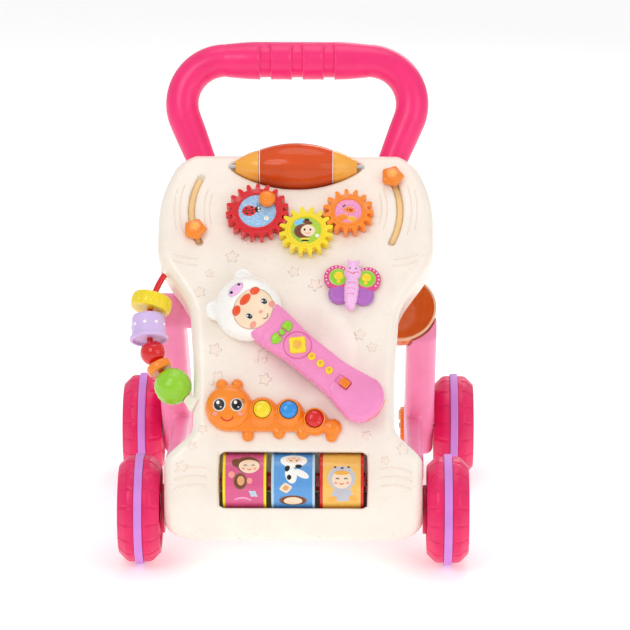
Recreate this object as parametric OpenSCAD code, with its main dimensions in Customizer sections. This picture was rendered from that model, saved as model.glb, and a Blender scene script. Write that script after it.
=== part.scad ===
// Baby walker with an activity panel: wheeled frame, push handle, gears, drum, rollers,
// beads, sliders and a lift-off toy phone. Origin on the floor, midway between the wheels.
// X to the right, Y from the front to the back, Z up.

/* [Overall] */
// Distance between the front and rear axles
wheelbase = 270; // [250:1:330]
// Width over the front wheels
front_track = 342; // [330:1:412]
// Width over the rear wheels
rear_track = 366; // [360:1:440]

/* [Wheels] */
// Radius of a wheel over its soft band, which is also the axle height
band_r = 54.5; // [50:0.5:60]
// Width of the soft band
band_w = 8; // [6:0.5:12]
// How far the band stands out of the wheel
band_proud = 2.5; // [1:0.5:4]
// Width of a wheel
wheel_w = 41; // [34:1:48]
// Radius of the rounded wheel shoulders
wheel_shoulder_r = 10; // [6:1:14]
// Wall of the blow-moulded wheel
wheel_wall = 2.5; // [2:0.5:4]
// Radius of the steel axles
axle_r = 3; // [2.5:0.25:4]

/* [Panel] */
// Radius of the curved face, seen from the side
face_r = 700; // [600:10:900]
// Length of the face along its curve
face_len = 364; // [340:2:440]
// Angle of the face's outward direction above level, at its foot
foot_angle = 22; // [18:1:26]
// Height of the foot of the face
foot_z = 84.6; // [80:0.2:90]
// How far the foot of the face stands in front of the axle
foot_reach = 42; // [38:0.5:44]
// Half width at the waist
waist_half_w = 98; // [94:1:100]
// Half width at the foot
foot_half_w = 125.5; // [122:0.5:127]
// Half width at the shoulders
shoulder_half_w = 136.3; // [130:0.1:150]
// How much narrower each side is at the top edge
top_narrowing = 24; // [20:1:30]
// Radius of the belly that curls under
belly_r = 43.5; // [40:0.5:46]
// Distance from the axle back to the flat back of the belly
belly_back = 43; // [40:1:46]
// Radius of the bottom corners
bottom_corner_r = 30; // [20:1:36]
// Depth of the panel body
body_depth = 50; // [46:1:60]
// Depth of the front shell, down to the seam
seam_depth = 28; // [24:1:32]
// Wall of both shells
shell_wall = 3; // [2:0.25:4]

/* [Handle] */
// Height of the grip above the panel, along the hoop
grip_rise = 109; // [90:1:130]
// Lean of the hoop back from upright
handle_lean = 20; // [10:1:30]
// Half width between the hoop's side tubes, at their widest
hoop_half_w = 116; // [110:1:130]
// Bend radius of the hoop's corners
hoop_bend_r = 44; // [34:1:50]
// Splay of the hoop's side tubes
hoop_splay = 22; // [15:1:25]
// Tube radius at the corners
hoop_tube_r = 16.5; // [14:0.5:18]
// Tube radius where it enters the panel
hoop_foot_r = 14; // [11:0.5:15]
// Radius of the grip
grip_r = 19; // [17:0.5:22]
// Wall of the hoop
hoop_wall = 2.5; // [2:0.5:4]

/* [Legs] */
// Distance from the centre plane to a leg's inner side
leg_inner = 111; // [108:1:116]
// Width of a leg
leg_w = 30; // [24:1:31]
// Radius of a leg's rear hub
leg_hub_r = 30; // [24:1:34]
// Half depth of the leg's tube
leg_half_d = 19; // [15:1:22]
// Wall of the legs
leg_wall = 3; // [2.5:0.5:4]
// Radius of the speed-control knobs
speed_knob_r = 19.5; // [16:0.5:22]

/* [Drum] */
// Half length of the bead drum
drum_half_l = 61; // [50:1:66]
// Largest radius of the drum
drum_r = 24; // [22:1:26]
// Half length of the clear barrel
barrel_half_l = 37.5; // [30:0.5:42]
// Wall of the drum
drum_wall = 1.8; // [1.2:0.2:2.4]

/* [Gears] */
// Tooth size: pitch diameter over the number of teeth
gear_module = 3.03; // [2.6:0.01:3.2]
// Teeth of the left gear
left_teeth = 19; // [17:1:21]
// Teeth of the middle gear
mid_teeth = 16; // [14:1:18]
// Teeth of the right gear
right_teeth = 15; // [13:1:17]
// Thickness of the gears
gear_t = 9; // [6:0.5:12]
// Radius of the crank knob
crank_r = 8.5; // [6:0.5:9]

/* [Sliders] */
// Radius of the curved slots
slot_arc_r = 86; // [76:1:92]
// Half width of a slot
slot_half_w = 3.3; // [2.5:0.1:4]
// Half travel of a slider, in degrees
slider_travel = 26; // [20:1:28]

/* [Rollers] */
// Radius of the picture rollers
roller_r = 29; // [25:0.5:30]
// Width of one roller
roller_w = 42.5; // [38:0.5:44]
// Height of the roller window
window_h = 54; // [46:1:58]

/* [Beads] */
// Radius of the bead rod's curve
rod_arc_r = 97; // [90:1:104]
// Radius of the bead rod
rod_r = 3; // [2:0.25:4]
// Radius of the large ball
big_bead_r = 18.3; // [14:0.1:18.5]

/* [Cup] */
// Outer radius of the ball cup
cup_r = 38; // [32:1:40]
// Wall of the ball cup
cup_wall = 2.5; // [2:0.5:4]

/* [Phone] */
// Distance between the phone's head and tail centres
phone_len = 142; // [120:1:150]
// Radius of the phone's head
phone_head_r = 33; // [28:1:36]
// Half width of the phone's tail
phone_tail_r = 24; // [20:1:26]
// Half width of the phone's neck
phone_neck_r = 20.5; // [17:0.5:22]
// Thickness of each phone shell
phone_half_t = 11.5; // [9:0.5:13]

/* [Clearances] */
// Radial clearance of a shaft in its bore
running_fit = 0.06; // [0.02:0.01:0.1]
// Gap between pieces that slide past each other
slide_gap = 0.3; // [0.2:0.05:0.5]
// Gap of a piece seated in another
seat_gap = 0.15; // [0.05:0.05:0.3]

/* [Hidden] */
$fn = 48;

axle_z = band_r;
front_y = -wheelbase / 2;
rear_y = wheelbase / 2;
tiny = 0.01;

// Centre of the face's curve, in the Y-Z plane
face_cy = front_y - foot_reach + face_r * cos(foot_angle);
face_cz = foot_z - face_r * sin(foot_angle);
belly_cy = front_y - foot_reach + belly_r * cos(foot_angle);
belly_cz = foot_z - belly_r * sin(foot_angle);
belly_bottom = belly_cz - belly_r;
belly_back_y = front_y + belly_back;
belly_top_z = 140;
top_angle = face_angle(face_len);
// The outline is drawn square to the face at this height on it
mid_s = 0.6 * face_len;
mid_angle = face_angle(mid_s);

// Feature places on the face: X, and the distance up the curve from its foot
drum_s = face_len - 19;
gear_plane_s = face_len - 89;
mid_gear = [10.7, face_len - 99.3];
left_gear_dir = 156;
right_gear_dir = 27.8;
crank_offset = [9.5, 11.5];
slot_cx = 17.5;
slot_s = face_len - 69.5;
left_slider_rest = -18.2;
right_slider_rest = 24.5;
butterfly_at = [56, face_len - 157];
phone_at = [9.5, 135.5];
phone_turn = 50.3;
cradle_at = [13.5, 142];
cradle_r = 42;
cradle_d = 12.5;
cat_s = 80;
roller_s = 13.4;
roller_sink = 22;
rod_at = [-46.4, 173.8];
rod_sink = 14;
rod_low = 237.9;
rod_high = 143.1;
bead_hub_angles = [167.6, 183, 198.4, 208.3, 222.3];
cup_tilt = 45;
battery_s = 170;
speaker_s = 240;
switch_s = 290;

function ease(t) = let (c = min(1, max(0, t))) c * c * (3 - 2 * c);
function face_angle(s) = foot_angle + s / face_r * 180 / PI;
function face_y(s, h) = face_cy - (face_r + h) * cos(face_angle(s));
function face_z(s, h) = face_cz + (face_r + h) * sin(face_angle(s));
function corner_drop(s, r) =
    let (t = min(1, max(0, (s - face_len + r) / r))) r * (1 - sqrt(1 - t * t));
function half_w(s) =
    waist_half_w + 4 * ease((s - face_len + 254) / 80)
    + (shoulder_half_w - waist_half_w - 4) * ease((s - face_len + 188) / 78)
    + (foot_half_w - waist_half_w) * (1 - ease((s - 30) / 37))
    - top_narrowing * pow(max(0, s - face_len + 81) / 81, 2)
    - corner_drop(s, 18);

// Places what follows on the face: Z points out of it, Y up along it
module at_face(x, s, h = 0) {
    translate([x, face_y(s, h), face_z(s, h)]) rotate([90 - face_angle(s), 0, 0]) children();
}
// A flat Y-Z drawing, extruded from x0 to x1
module along_x(x0, x1) {
    translate([x0, 0, 0]) rotate([90, 0, 90]) linear_extrude(x1 - x0) children();
}
// A cylinder on the X axis, from x0 to x1
module x_rod(r, x0, x1) {
    translate([x0, 0, 0]) rotate([0, 90, 0]) cylinder(r = r, h = x1 - x0);
}
// The straight sides that touch two circles
module link_sides(p, pr, q, qr) {
    d = norm(q - p);
    turn = atan2(q[1] - p[1], q[0] - p[0]);
    lean = acos((pr - qr) / d);
    polygon([for (e = [[p, pr, lean], [q, qr, lean], [q, qr, -lean], [p, pr, -lean]])
        e[0] + e[1] * [cos(turn + e[2]), sin(turn + e[2])]]);
}
module link(p, pr, q, qr) {
    translate(p) circle(r = pr);
    translate(q) circle(r = qr);
    link_sides(p, pr, q, qr);
}
// A spherical cap with base radius r and height h
module dome(r, h) {
    big = (r * r + h * h) / (2 * h);
    intersection() {
        translate([0, 0, h - big]) sphere(r = big);
        cylinder(r = r, h = h);
    }
}

// A straight-sided disc of height h with a crowned top
module pebble(r, h, crown) {
    big = (r * r + crown * crown) / (2 * crown);
    rotate_extrude() intersection() {
        translate([0, h + crown - big]) circle(r = big, $fn = 120);
        square([r, h + crown]);
    }
}

// ---- panel body ----
module face_disc(r) {
    translate([face_cy, face_cz]) circle(r = r, $fn = 180);
}
// Half plane above the line square to the face at s
module above(s) {
    translate([face_cy, face_cz]) rotate(180 - face_angle(s)) translate([0, -900]) square([900, 900]);
}
module side_profile(t) {
    difference() {
        face_disc(face_r - t);
        face_disc(face_r - body_depth + t);
        above(face_len - t);
        translate([face_cy, face_cz]) rotate(180 - foot_angle) square([900, 1600]);
        translate([face_cy, face_cz - 1000]) square(2000);
        translate([face_cy - 1000, face_cz - 1500]) square([1200, 1500]);
    }
    translate([belly_cy, belly_cz]) circle(r = belly_r - t);
    translate([belly_cy, belly_bottom + t])
        square([belly_back_y - t - belly_cy, belly_top_z - belly_bottom - 2 * t]);
}
module face_outline(t) {
    side = [for (i = [0:60]) let (s = i * (face_len - t) / 60)
        [half_w(s) - t, face_r * sin(face_angle(s) - mid_angle)]];
    low = face_r * sin(foot_angle - mid_angle) - 60;
    right = concat([[foot_half_w - t, low]], side);
    polygon(concat(right, [for (i = [len(right) - 1:-1:0]) [-right[i][0], right[i][1]]]));
}
module front_outline(t) {
    w = foot_half_w + 1.5 - t;
    r = bottom_corner_r;
    z = belly_bottom + t;
    for (side = [-1, 1]) translate([side * (w - r), z + r]) circle(r = r);
    translate([-(w - r), z]) square([2 * (w - r), 200]);
    translate([-w, z + r]) square([2 * w, 60]);
    translate([-200, z + r + 50]) square([400, 450]);
}
module body_solid(t = 0) {
    intersection() {
        along_x(-150, 150) side_profile(t);
        at_face(0, mid_s, -180) linear_extrude(220) face_outline(t);
        translate([0, 150, 0]) rotate([90, 0, 0]) linear_extrude(400) front_outline(t);
    }
}
// Everything behind the seam between the two shells
module seam_cutter(gap = 0) {
    along_x(-160, 160) difference() {
        union() {
            face_disc(face_r - seam_depth - gap);
            translate([front_y - 2 + gap, 0]) square([100, 106]);
        }
        translate([-400, -200]) square([400 + front_y - 2 + gap, 306]);
    }
}
screw_places = [[-75, face_len - 46], [75, face_len - 46], [-82, 215], [82, 215], [-82, 64], [82, 64]];
module shell_skin() {
    difference() {
        body_solid();
        body_solid(shell_wall);
    }
}
module roller_frame(x = 0) {
    at_face(x, roller_s, -roller_sink) children();
}
module slot_cut(side) {
    at_face(side * slot_cx, slot_s, -8) mirror([side < 0 ? 1 : 0, 0, 0]) {
        rotate([0, 0, -slider_travel]) rotate_extrude(angle = 2 * slider_travel)
            translate([slot_arc_r - slot_half_w, 0]) square([2 * slot_half_w, 16]);
        for (a = [-slider_travel, slider_travel])
            rotate([0, 0, a]) translate([slot_arc_r, 0, 0]) cylinder(r = slot_half_w, h = 16);
    }
}
module drum_lens(extra) {
    // The drum's outer curve runs from its largest radius to a blunt tip
    tip = 4;
    d = drum_r - tip;
    big = (drum_half_l * drum_half_l + d * d) / (2 * d);
    rotate([0, 90, 0]) rotate_extrude() intersection() {
        translate([drum_r - big, 0]) circle(r = big + extra, $fn = 120);
        translate([0, -drum_half_l - extra]) square([drum_r + extra, 2 * (drum_half_l + extra)]);
    }
}
module rod_torus(r, a0, a1) {
    rotate([0, 0, a0]) rotate_extrude(angle = a1 - a0) translate([rod_arc_r, 0]) circle(r = r);
}
module hoop_frame() {
    translate([0, face_y(face_len - 1, -body_depth / 2), face_z(face_len - 1, -body_depth / 2)])
        rotate([90 - handle_lean, 0, 0]) children();
}
// Hoop drawn in its own plane: X across, Y up along the hoop. shrink makes the inner hollow
module hoop_solid(shrink) {
    bend = [hoop_half_w - hoop_bend_r, grip_rise - hoop_bend_r];
    foot_y = -9;
    start = bend + hoop_bend_r * [cos(hoop_splay), -sin(hoop_splay)];
    side_l = (start[1] - foot_y) / cos(hoop_splay);
    grip_half = 42;
    blend = bend[0] - grip_half;
    // The straight tubes seat 1 mm deep in the bends, and are this much slimmer there
    step = 0.4;
    for (side = [0, 1]) mirror([side, 0, 0]) {
        translate([bend[0], bend[1], 0]) rotate([0, 0, -hoop_splay])
            rotate_extrude(angle = 90 + hoop_splay)
                translate([hoop_bend_r, 0]) circle(r = hoop_tube_r - shrink);
        translate([start[0], start[1], 0]) rotate([0, 0, -hoop_splay]) rotate([90, 0, 0])
            translate([0, 0, -1])
                cylinder(r1 = hoop_tube_r - step - shrink, r2 = hoop_foot_r - shrink, h = side_l + 1);
        translate([grip_half, grip_rise, 0]) rotate([0, 90, 0])
            cylinder(r1 = grip_r - shrink, r2 = hoop_tube_r - step - shrink, h = blend + 1);
    }
    translate([-grip_half, grip_rise, 0]) rotate([0, 90, 0])
        cylinder(r = grip_r - shrink, h = 2 * grip_half);
}
module front_shell() {
    color("#fbeee0") difference() {
        union() {
            difference() {
                shell_skin();
                seam_cutter();
            }
            intersection() {
                body_solid();
                union() {
                    // Wall of the round finger hollow under the phone
                    at_face(cradle_at[0], cradle_at[1], -cradle_d - shell_wall)
                        cylinder(r = cradle_r + shell_wall, h = cradle_d + shell_wall);
                    // Cheeks that hold the roller axle
                    for (side = [-1, 1]) roller_frame(side * (window_half_w() + 4))
                        translate([-1.5, -14, -8]) cube([3, 28, 28]);
                    // Ears that hold the drum axle
                    for (side = [-1, 1]) at_face(side * (drum_half_l + 5), drum_s)
                        translate([-2, -7, -9]) cube([4, 14, 8]);
                    for (p = screw_places) at_face(p[0], p[1], -seam_depth) cylinder(r = 4, h = 26);
                }
            }
            for (side = [-1, 1]) at_face(side * (drum_half_l + 5), drum_s) x_rod(7, -2, 2);
        }
        at_face(cradle_at[0], cradle_at[1], -cradle_d) cylinder(r = cradle_r, h = 30);
        at_face(0, drum_s) drum_lens(2);
        at_face(0, drum_s) x_rod(2 + seat_gap, -75, 75);
        roller_frame() translate([-window_half_w(), -window_h / 2, 0])
            cube([2 * window_half_w(), window_h, 40]);
        roller_frame() x_rod(axle_r + seat_gap, -90, 90);
        for (side = [-1, 1]) slot_cut(side);
        for (g = gear_places()) gear_frame(g) translate([0, 0, -12]) cylinder(r = 3 + seat_gap, h = 20);
        at_face(butterfly_at[0], butterfly_at[1], -8) cylinder(r = 3 + seat_gap, h = 16);
        at_face(rod_at[0], rod_at[1], -rod_sink)
            rod_torus(rod_r + seat_gap, rod_high - 8, rod_low + 8);
        translate([0, front_y, axle_z]) x_rod(axle_r + seat_gap, -150, 150);
        hoop_frame() hoop_solid(-seat_gap);
        for (p = screw_places) at_face(p[0], p[1], -seam_depth - 1) cylinder(r = 1.3, h = 22);
    }
}
function window_half_w() = 1.5 * roller_w + 6.5;
module back_shell() {
    color("#f6e8d8") difference() {
        union() {
            intersection() {
                shell_skin();
                seam_cutter(0.1);
            }
            intersection() {
                body_solid();
                union() {
                    for (p = screw_places) at_face(p[0], p[1], -body_depth - 60)
                        cylinder(r = 4, h = 60 + body_depth - seam_depth - 0.1);
                    for (x = [-30, 30]) at_face(x, speaker_s - 10, -body_depth) cylinder(r = 3, h = 24);
                }
            }
        }
        for (p = screw_places) at_face(p[0], p[1], -body_depth - 100) {
            cylinder(r = 1.5 + seat_gap, h = 200);
            cylinder(r = 3.4, h = 100 + screw_sink(p));
        }
        hoop_frame() hoop_solid(-seat_gap);
        translate([0, front_y, axle_z]) x_rod(axle_r + seat_gap, -150, 150);
        at_face(0, battery_s, -body_depth - 5)
            translate([-door_w / 2, -door_l / 2, 0]) cube([door_w, door_l, 12]);
        at_face(0, speaker_s, -body_depth - 5) for (a = [0:60:300])
            rotate([0, 0, a]) translate([9, 0, 0]) cylinder(r = 2, h = 12);
        at_face(0, switch_s, -body_depth - 5) translate([-8, -3, 0]) cube([16, 6, 12]);
    }
}
// The lower screws enter the thick belly, so their heads sit deeper than the others
function screw_sink(p) = p[1] < 100 ? -12 : 5;
door_w = 64;
door_l = 54;

module handle() {
    color("#f0307c") hoop_frame() difference() {
        hoop_solid(0);
        hoop_solid(hoop_wall);
        for (x = [-32, 0, 32]) translate([x, grip_rise, 0]) rotate([0, 90, 0])
            translate([0, 0, -3]) difference() {
                cylinder(r = grip_r + 2, h = 6);
                cylinder(r = grip_r - 1.2, h = 6);
            }
    }
}

// ---- legs ----
leg_top_s = face_len - 155;
leg_top = [face_y(leg_top_s, -body_depth - 17), face_z(leg_top_s, -body_depth - 17)];
strut_front = [belly_back_y, 82];
strut_outer = 127.5;
cup_s = face_len - 138;
cup_at = [103, face_y(cup_s, -body_depth - cup_r - 1.7), face_z(cup_s, -body_depth - cup_r - 1.7)];
module leg_profile(t) {
    link([rear_y, axle_z], leg_hub_r - t, leg_top, leg_half_d - t);
}
module strut_profile(t) {
    link([rear_y, axle_z + 4], 20 - t, strut_front, 15 - t);
}
module leg_shape(side) {
    difference() {
        mirror([side < 0 ? 1 : 0, 0, 0]) difference() {
            union() {
                along_x(leg_inner, leg_inner + leg_w) leg_profile(0);
                along_x(leg_inner, strut_outer) strut_profile(0);
                along_x(78, leg_inner + 1) translate(leg_top) circle(r = leg_half_d - 3);
            }
            along_x(leg_inner + leg_wall, leg_inner + leg_w - leg_wall) leg_profile(leg_wall);
            along_x(leg_inner + leg_wall, strut_outer - leg_wall) strut_profile(leg_wall);
        }
        along_x(-160, 160) difference() {
            face_disc(face_r + 60);
            face_disc(face_r - body_depth - 0.05);
        }
        translate([-160, belly_back_y - 60, 0]) cube([320, 60.05, belly_top_z]);
    }
    // Solid hub round the axle
    mirror([side < 0 ? 1 : 0, 0, 0]) translate([0, rear_y, axle_z])
        x_rod(12, leg_inner + 0.5, leg_inner + leg_w - 0.5);
}
module leg(side) {
    color("#f59ac0") difference() {
        leg_shape(side);
        translate([0, rear_y, axle_z]) x_rod(axle_r + seat_gap, -160, 160);
        if (side > 0) translate(cup_at) sphere(r = cup_r + slide_gap);
    }
}
module leg_left() { leg(-1); }
module leg_right() { leg(1); }
module axles() {
    head_r = 6;
    front_end = front_track / 2;
    rear_end = rear_track / 2;
    color("#b8bcc2") {
        translate([0, front_y, axle_z]) {
            x_rod(axle_r, -front_end + 1, front_end - 1);
            for (side = [0, 1]) mirror([side, 0, 0]) x_rod(head_r, front_end - 3, front_end - 1);
        }
        for (side = [0, 1]) mirror([side, 0, 0]) translate([0, rear_y, axle_z]) {
            x_rod(axle_r, leg_inner - 5.4, rear_end - 1);
            x_rod(head_r, rear_end - 3, rear_end - 1);
        }
    }
}
module front_bushes() {
    inner = foot_half_w + 0.7;
    outer = front_track / 2 - wheel_w - slide_gap;
    color("#ef3f8c") for (side = [0, 1]) mirror([side, 0, 0]) translate([0, front_y, axle_z])
        difference() {
            x_rod(24, inner, outer);
            x_rod(axle_r + seat_gap, inner - 1, outer + 1);
        }
}
module wheel_section(t) {
    w = wheel_w - 2 * t;
    r = band_r - band_proud - t;
    c = wheel_shoulder_r - t;
    for (side = [-1, 1]) translate([r - c, side * (w / 2 - c)]) circle(r = c);
    translate([0, -w / 2]) square([r - c, w]);
    translate([0, -w / 2 + c]) square([r, w - 2 * c]);
}
// Wheel about the X axis, centred on its width, outer side to +X
module wheel() {
    w = wheel_w;
    color("#e8186c") rotate([0, 90, 0]) rotate_extrude($fn = 96) difference() {
        union() {
            difference() {
                wheel_section(0);
                wheel_section(wheel_wall);
            }
            translate([0, -w / 2]) square([10, w]);
            translate([band_r - band_proud - 6, -band_w / 2 - 3]) square([4, band_w + 6]);
        }
        translate([0, -w]) square([axle_r + running_fit, 2 * w]);
        translate([0, w / 2 - 3.5]) square([8, 10]);
        translate([band_r - band_proud - 3, -band_w / 2 - seat_gap])
            square([20, band_w + 2 * seat_gap]);
    }
}
module band() {
    inner = band_r - band_proud - 3 + seat_gap;
    color("#c77ddc") rotate([0, 90, 0]) rotate_extrude($fn = 96)
        translate([inner, -band_w / 2]) square([band_r - inner, band_w]);
}
module at_wheel(track, side, y) {
    mirror([side < 0 ? 1 : 0, 0, 0]) translate([(track - wheel_w) / 2, y, axle_z]) children();
}
module wheel_front_left() { at_wheel(front_track, -1, front_y) wheel(); }
module wheel_front_right() { at_wheel(front_track, 1, front_y) wheel(); }
module wheel_rear_left() { at_wheel(rear_track, -1, rear_y) wheel(); }
module wheel_rear_right() { at_wheel(rear_track, 1, rear_y) wheel(); }
module band_front_left() { at_wheel(front_track, -1, front_y) band(); }
module band_front_right() { at_wheel(front_track, 1, front_y) band(); }
module band_rear_left() { at_wheel(rear_track, -1, rear_y) band(); }
module band_rear_right() { at_wheel(rear_track, 1, rear_y) band(); }
module speed_knob(side) {
    color("#ff9a3c") mirror([side < 0 ? 1 : 0, 0, 0]) translate([0, rear_y, axle_z]) difference() {
        union() {
            x_rod(speed_knob_r, leg_inner - 4.3, leg_inner - slide_gap);
            translate([leg_inner - 6.3, -2.5, 5]) cube([2.5, 5, speed_knob_r - 7]);
        }
        x_rod(axle_r + running_fit, leg_inner - 10, leg_inner + 10);
    }
}
module speed_knob_left() { speed_knob(-1); }
module speed_knob_right() { speed_knob(1); }

// ---- inside and fasteners ----
module screws() {
    color("#9aa0a6") for (p = screw_places) at_face(p[0], p[1], -body_depth + screw_sink(p)) {
        translate([0, 0, -3]) cylinder(r = 3, h = 3);
        cylinder(r = 1.2, h = body_depth - seam_depth + 14 - screw_sink(p));
    }
}
module pivot_pins() {
    color("#d8dade") {
        for (g = gear_places()) gear_frame(g) {
            translate([0, 0, -9]) cylinder(r = 3, h = 9 + gear_t - 3);
            translate([0, 0, -10]) cylinder(r = 5, h = 5);
        }
        at_face(butterfly_at[0], butterfly_at[1], -9) cylinder(r = 3, h = 15);
        at_face(butterfly_at[0], butterfly_at[1], -9) cylinder(r = 5, h = 5);
    }
}
module batteries() {
    color("#3a3f48") for (i = [-1, 0, 1])
        at_face(0, battery_s + i * 15, -body_depth + 12) {
            x_rod(7.1, -25, 24);
            x_rod(2.7, 24, 25.2);
        }
}
module circuit_board() {
    color("#2f7d4f") at_face(0, speaker_s - 10, -body_depth + 24.2)
        translate([-38, -18, 0]) cube([76, 36, 1.6]);
}
module speaker() {
    color("#44484e") at_face(0, speaker_s, -body_depth + shell_wall) {
        cylinder(r = 18, h = 3);
        cylinder(r = 10, h = 12);
    }
}
module battery_door() {
    color("#f6e8d8") at_face(0, battery_s, -body_depth)
        translate([-door_w / 2 + slide_gap, -door_l / 2 + slide_gap, -0.6])
            cube([door_w - 2 * slide_gap, door_l - 2 * slide_gap, 3]);
}
module power_switch() {
    color("#ff9a3c") at_face(-2.5, switch_s, -body_depth)
        translate([-2, -2.5, -2]) cube([4, 5, 7]);
}

// ---- drum ----
module drum_frame() { at_face(0, drum_s) children(); }
module drum_slice(x0, x1) {
    intersection() {
        difference() {
            drum_lens(0);
            drum_lens(-drum_wall);
        }
        x_rod(40, x0, x1);
    }
}
module drum_barrel() {
    color("#e8452b", 0.7) drum_frame() drum_slice(-barrel_half_l, barrel_half_l);
}
module drum_caps() {
    color("#ffb04a") drum_frame() for (side = [0, 1]) mirror([side, 0, 0]) difference() {
        union() {
            drum_slice(barrel_half_l + 0.05, drum_half_l);
            intersection() {
                drum_lens(-0.5);
                union() {
                    x_rod(30, barrel_half_l + 0.05, barrel_half_l + 2);
                    x_rod(6, barrel_half_l, drum_half_l - 0.5);
                }
            }
        }
        x_rod(2 + running_fit, 0, 80);
    }
}
module drum_axle() {
    color("#b8bcc2") drum_frame() x_rod(2, -drum_half_l - 6.5, drum_half_l + 6.5);
}
module drum_beads() {
    colors = ["#f6d43a", "#7fd0ff", "#ff6fae", "#b8f06a"];
    drum_frame() for (row = [0:2], i = [0:10]) {
        x = (i - 5) * 5.4;
        floor_r = drum_r - drum_wall - 5 - abs(x) * 0.12;
        around = 210 + row * 22;
        color(colors[(row + i) % 4])
            translate([x, floor_r * cos(around), floor_r * sin(around)]) sphere(r = 2.3, $fn = 24);
    }
}

// ---- gears ----
function gear_places() = [
    [mid_gear[0] + gear_gap(left_teeth) * cos(left_gear_dir),
     mid_gear[1] - gear_plane_s + gear_gap(left_teeth) * sin(left_gear_dir)],
    [mid_gear[0], mid_gear[1] - gear_plane_s],
    [mid_gear[0] + gear_gap(right_teeth) * cos(right_gear_dir),
     mid_gear[1] - gear_plane_s + gear_gap(right_teeth) * sin(right_gear_dir)]
];
function gear_gap(teeth) = gear_module * (teeth + mid_teeth) / 2;
// Centre of a gear on the gears' common plane
module gear_frame(place) {
    at_face(0, gear_plane_s, 0.8) translate([place[0], place[1], 0]) children();
}
function involute(base, r) = let (p = acos(base / r)) tan(p) * 180 / PI - p;
// Gear with the centre of one tooth at angle phase
module gear_wheel(teeth, phase) {
    pitch = gear_module * teeth / 2;
    base = pitch * cos(20);
    tip = pitch + 0.85 * gear_module;
    root = pitch - 1.1 * gear_module;
    play = 0.35 / pitch * 180 / PI;
    half = 90 / teeth - play / 2 + involute(base, pitch);
    radii = [for (i = [0:4]) let (r0 = max(base + tiny, root)) r0 + (tip - r0) * i / 4];
    flank = [for (r = radii) [r, half - involute(base, r)]];
    up = concat([[root, flank[0][1] + 0.4]], flank);
    tooth = concat([for (p = up) [p[0], -p[1]]], [for (i = [len(up) - 1:-1:0]) up[i]]);
    linear_extrude(gear_t) polygon([for (k = [0:teeth - 1], p = tooth)
        p[0] * [cos(phase + k * 360 / teeth + p[1]), sin(phase + k * 360 / teeth + p[1])]]);
}
module bored_gear(teeth, phase, place) {
    rim = gear_module * (teeth / 2 - 1.1) - 4;
    gear_frame(place) difference() {
        gear_wheel(teeth, phase);
        translate([0, 0, gear_t - 1.6]) cylinder(r = rim - 2, h = 5);
        difference() {
            translate([0, 0, -1]) cylinder(r = rim - 2, h = gear_t - 3);
            translate([0, 0, -2]) cylinder(r = 6, h = gear_t);
        }
        translate([0, 0, -1]) cylinder(r = 3 + running_fit, h = gear_t - 1.6);
    }
}
left_phase = left_gear_dir + 180;
mid_phase = left_gear_dir + 180 / mid_teeth;
right_lag = (right_gear_dir - mid_phase) * mid_teeth / right_teeth;
right_phase = right_gear_dir + 180 + right_lag + 180 / right_teeth;
module gear_red() {
    color("#dc1f2e") {
        bored_gear(left_teeth, left_phase, gear_places()[0]);
        gear_frame(gear_places()[0])
            translate([crank_offset[0], crank_offset[1], gear_t - 1.7]) cylinder(r = 2.5, h = 7.5);
    }
}
module gear_yellow() { color("#f7df2c") bored_gear(mid_teeth, mid_phase, gear_places()[1]); }
module gear_orange() { color("#ff9a3c") bored_gear(right_teeth, right_phase, gear_places()[2]); }
module crank_knob() {
    color("#ff8a1e") gear_frame(gear_places()[0])
        translate([crank_offset[0], crank_offset[1], gear_t + slide_gap]) difference() {
            union() {
                cylinder(r = crank_r, h = 6);
                translate([0, 0, 6]) dome(crank_r, 4);
            }
            translate([0, 0, -1]) cylinder(r = 2.5 + running_fit, h = 7.5);
        }
}

// ---- sliders ----
module slider(side, rest) {
    color("#ffa02c") at_face(side * slot_cx, slot_s) mirror([side < 0 ? 1 : 0, 0, 0])
        rotate([0, 0, rest]) translate([slot_arc_r, 0, 0]) {
            translate([0, 0, slide_gap]) {
                cylinder(r = 9, h = 8);
                for (a = [0:72:288]) rotate([0, 0, a]) translate([7.5, 0, 0]) cylinder(r = 5, h = 7);
                translate([0, 0, 8]) dome(8, 4);
            }
            translate([0, 0, -7]) cylinder(r = slot_half_w - slide_gap, h = 8);
            translate([0, 0, -7.4]) cylinder(r = slot_half_w + 2.5, h = 2.2);
        }
}
module slider_left() { slider(-1, left_slider_rest); }
module slider_right() { slider(1, right_slider_rest); }

// ---- butterfly ----
module butterfly_frame() {
    at_face(butterfly_at[0], butterfly_at[1], 0.8) rotate([0, 0, -4]) children();
}
module butterfly_wings() {
    color("#b65fb8") butterfly_frame() difference() {
        for (side = [0, 1]) mirror([side, 0, 0]) {
            translate([15, 8, 0]) cylinder(r = 13, h = 5);
            translate([12, -9, 0]) cylinder(r = 10.5, h = 5);
            translate([0, -10, 0]) cube([12, 20, 5]);
        }
        translate([0, 0, -1]) cylinder(r = 6.5 + seat_gap, h = 10);
    }
}
module butterfly_body() {
    color("#f3bfe8") butterfly_frame() difference() {
        union() {
            cylinder(r = 6.5, h = 5.2);
            translate([0, 0, 5.2]) {
                translate([0, 13, 0]) dome(9, 8);
                translate([0, 20, 0]) dome(6, 6);
                translate([0, -2, 0]) dome(7.5, 6.5);
                translate([0, -12, 0]) dome(7, 6);
                translate([0, -21, 0]) dome(5.5, 5);
                translate([-4, -20, 0]) cube([8, 34, 2.5]);
            }
        }
        translate([0, 0, -1]) cylinder(r = 3 + running_fit, h = 6.6);
    }
}

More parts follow.
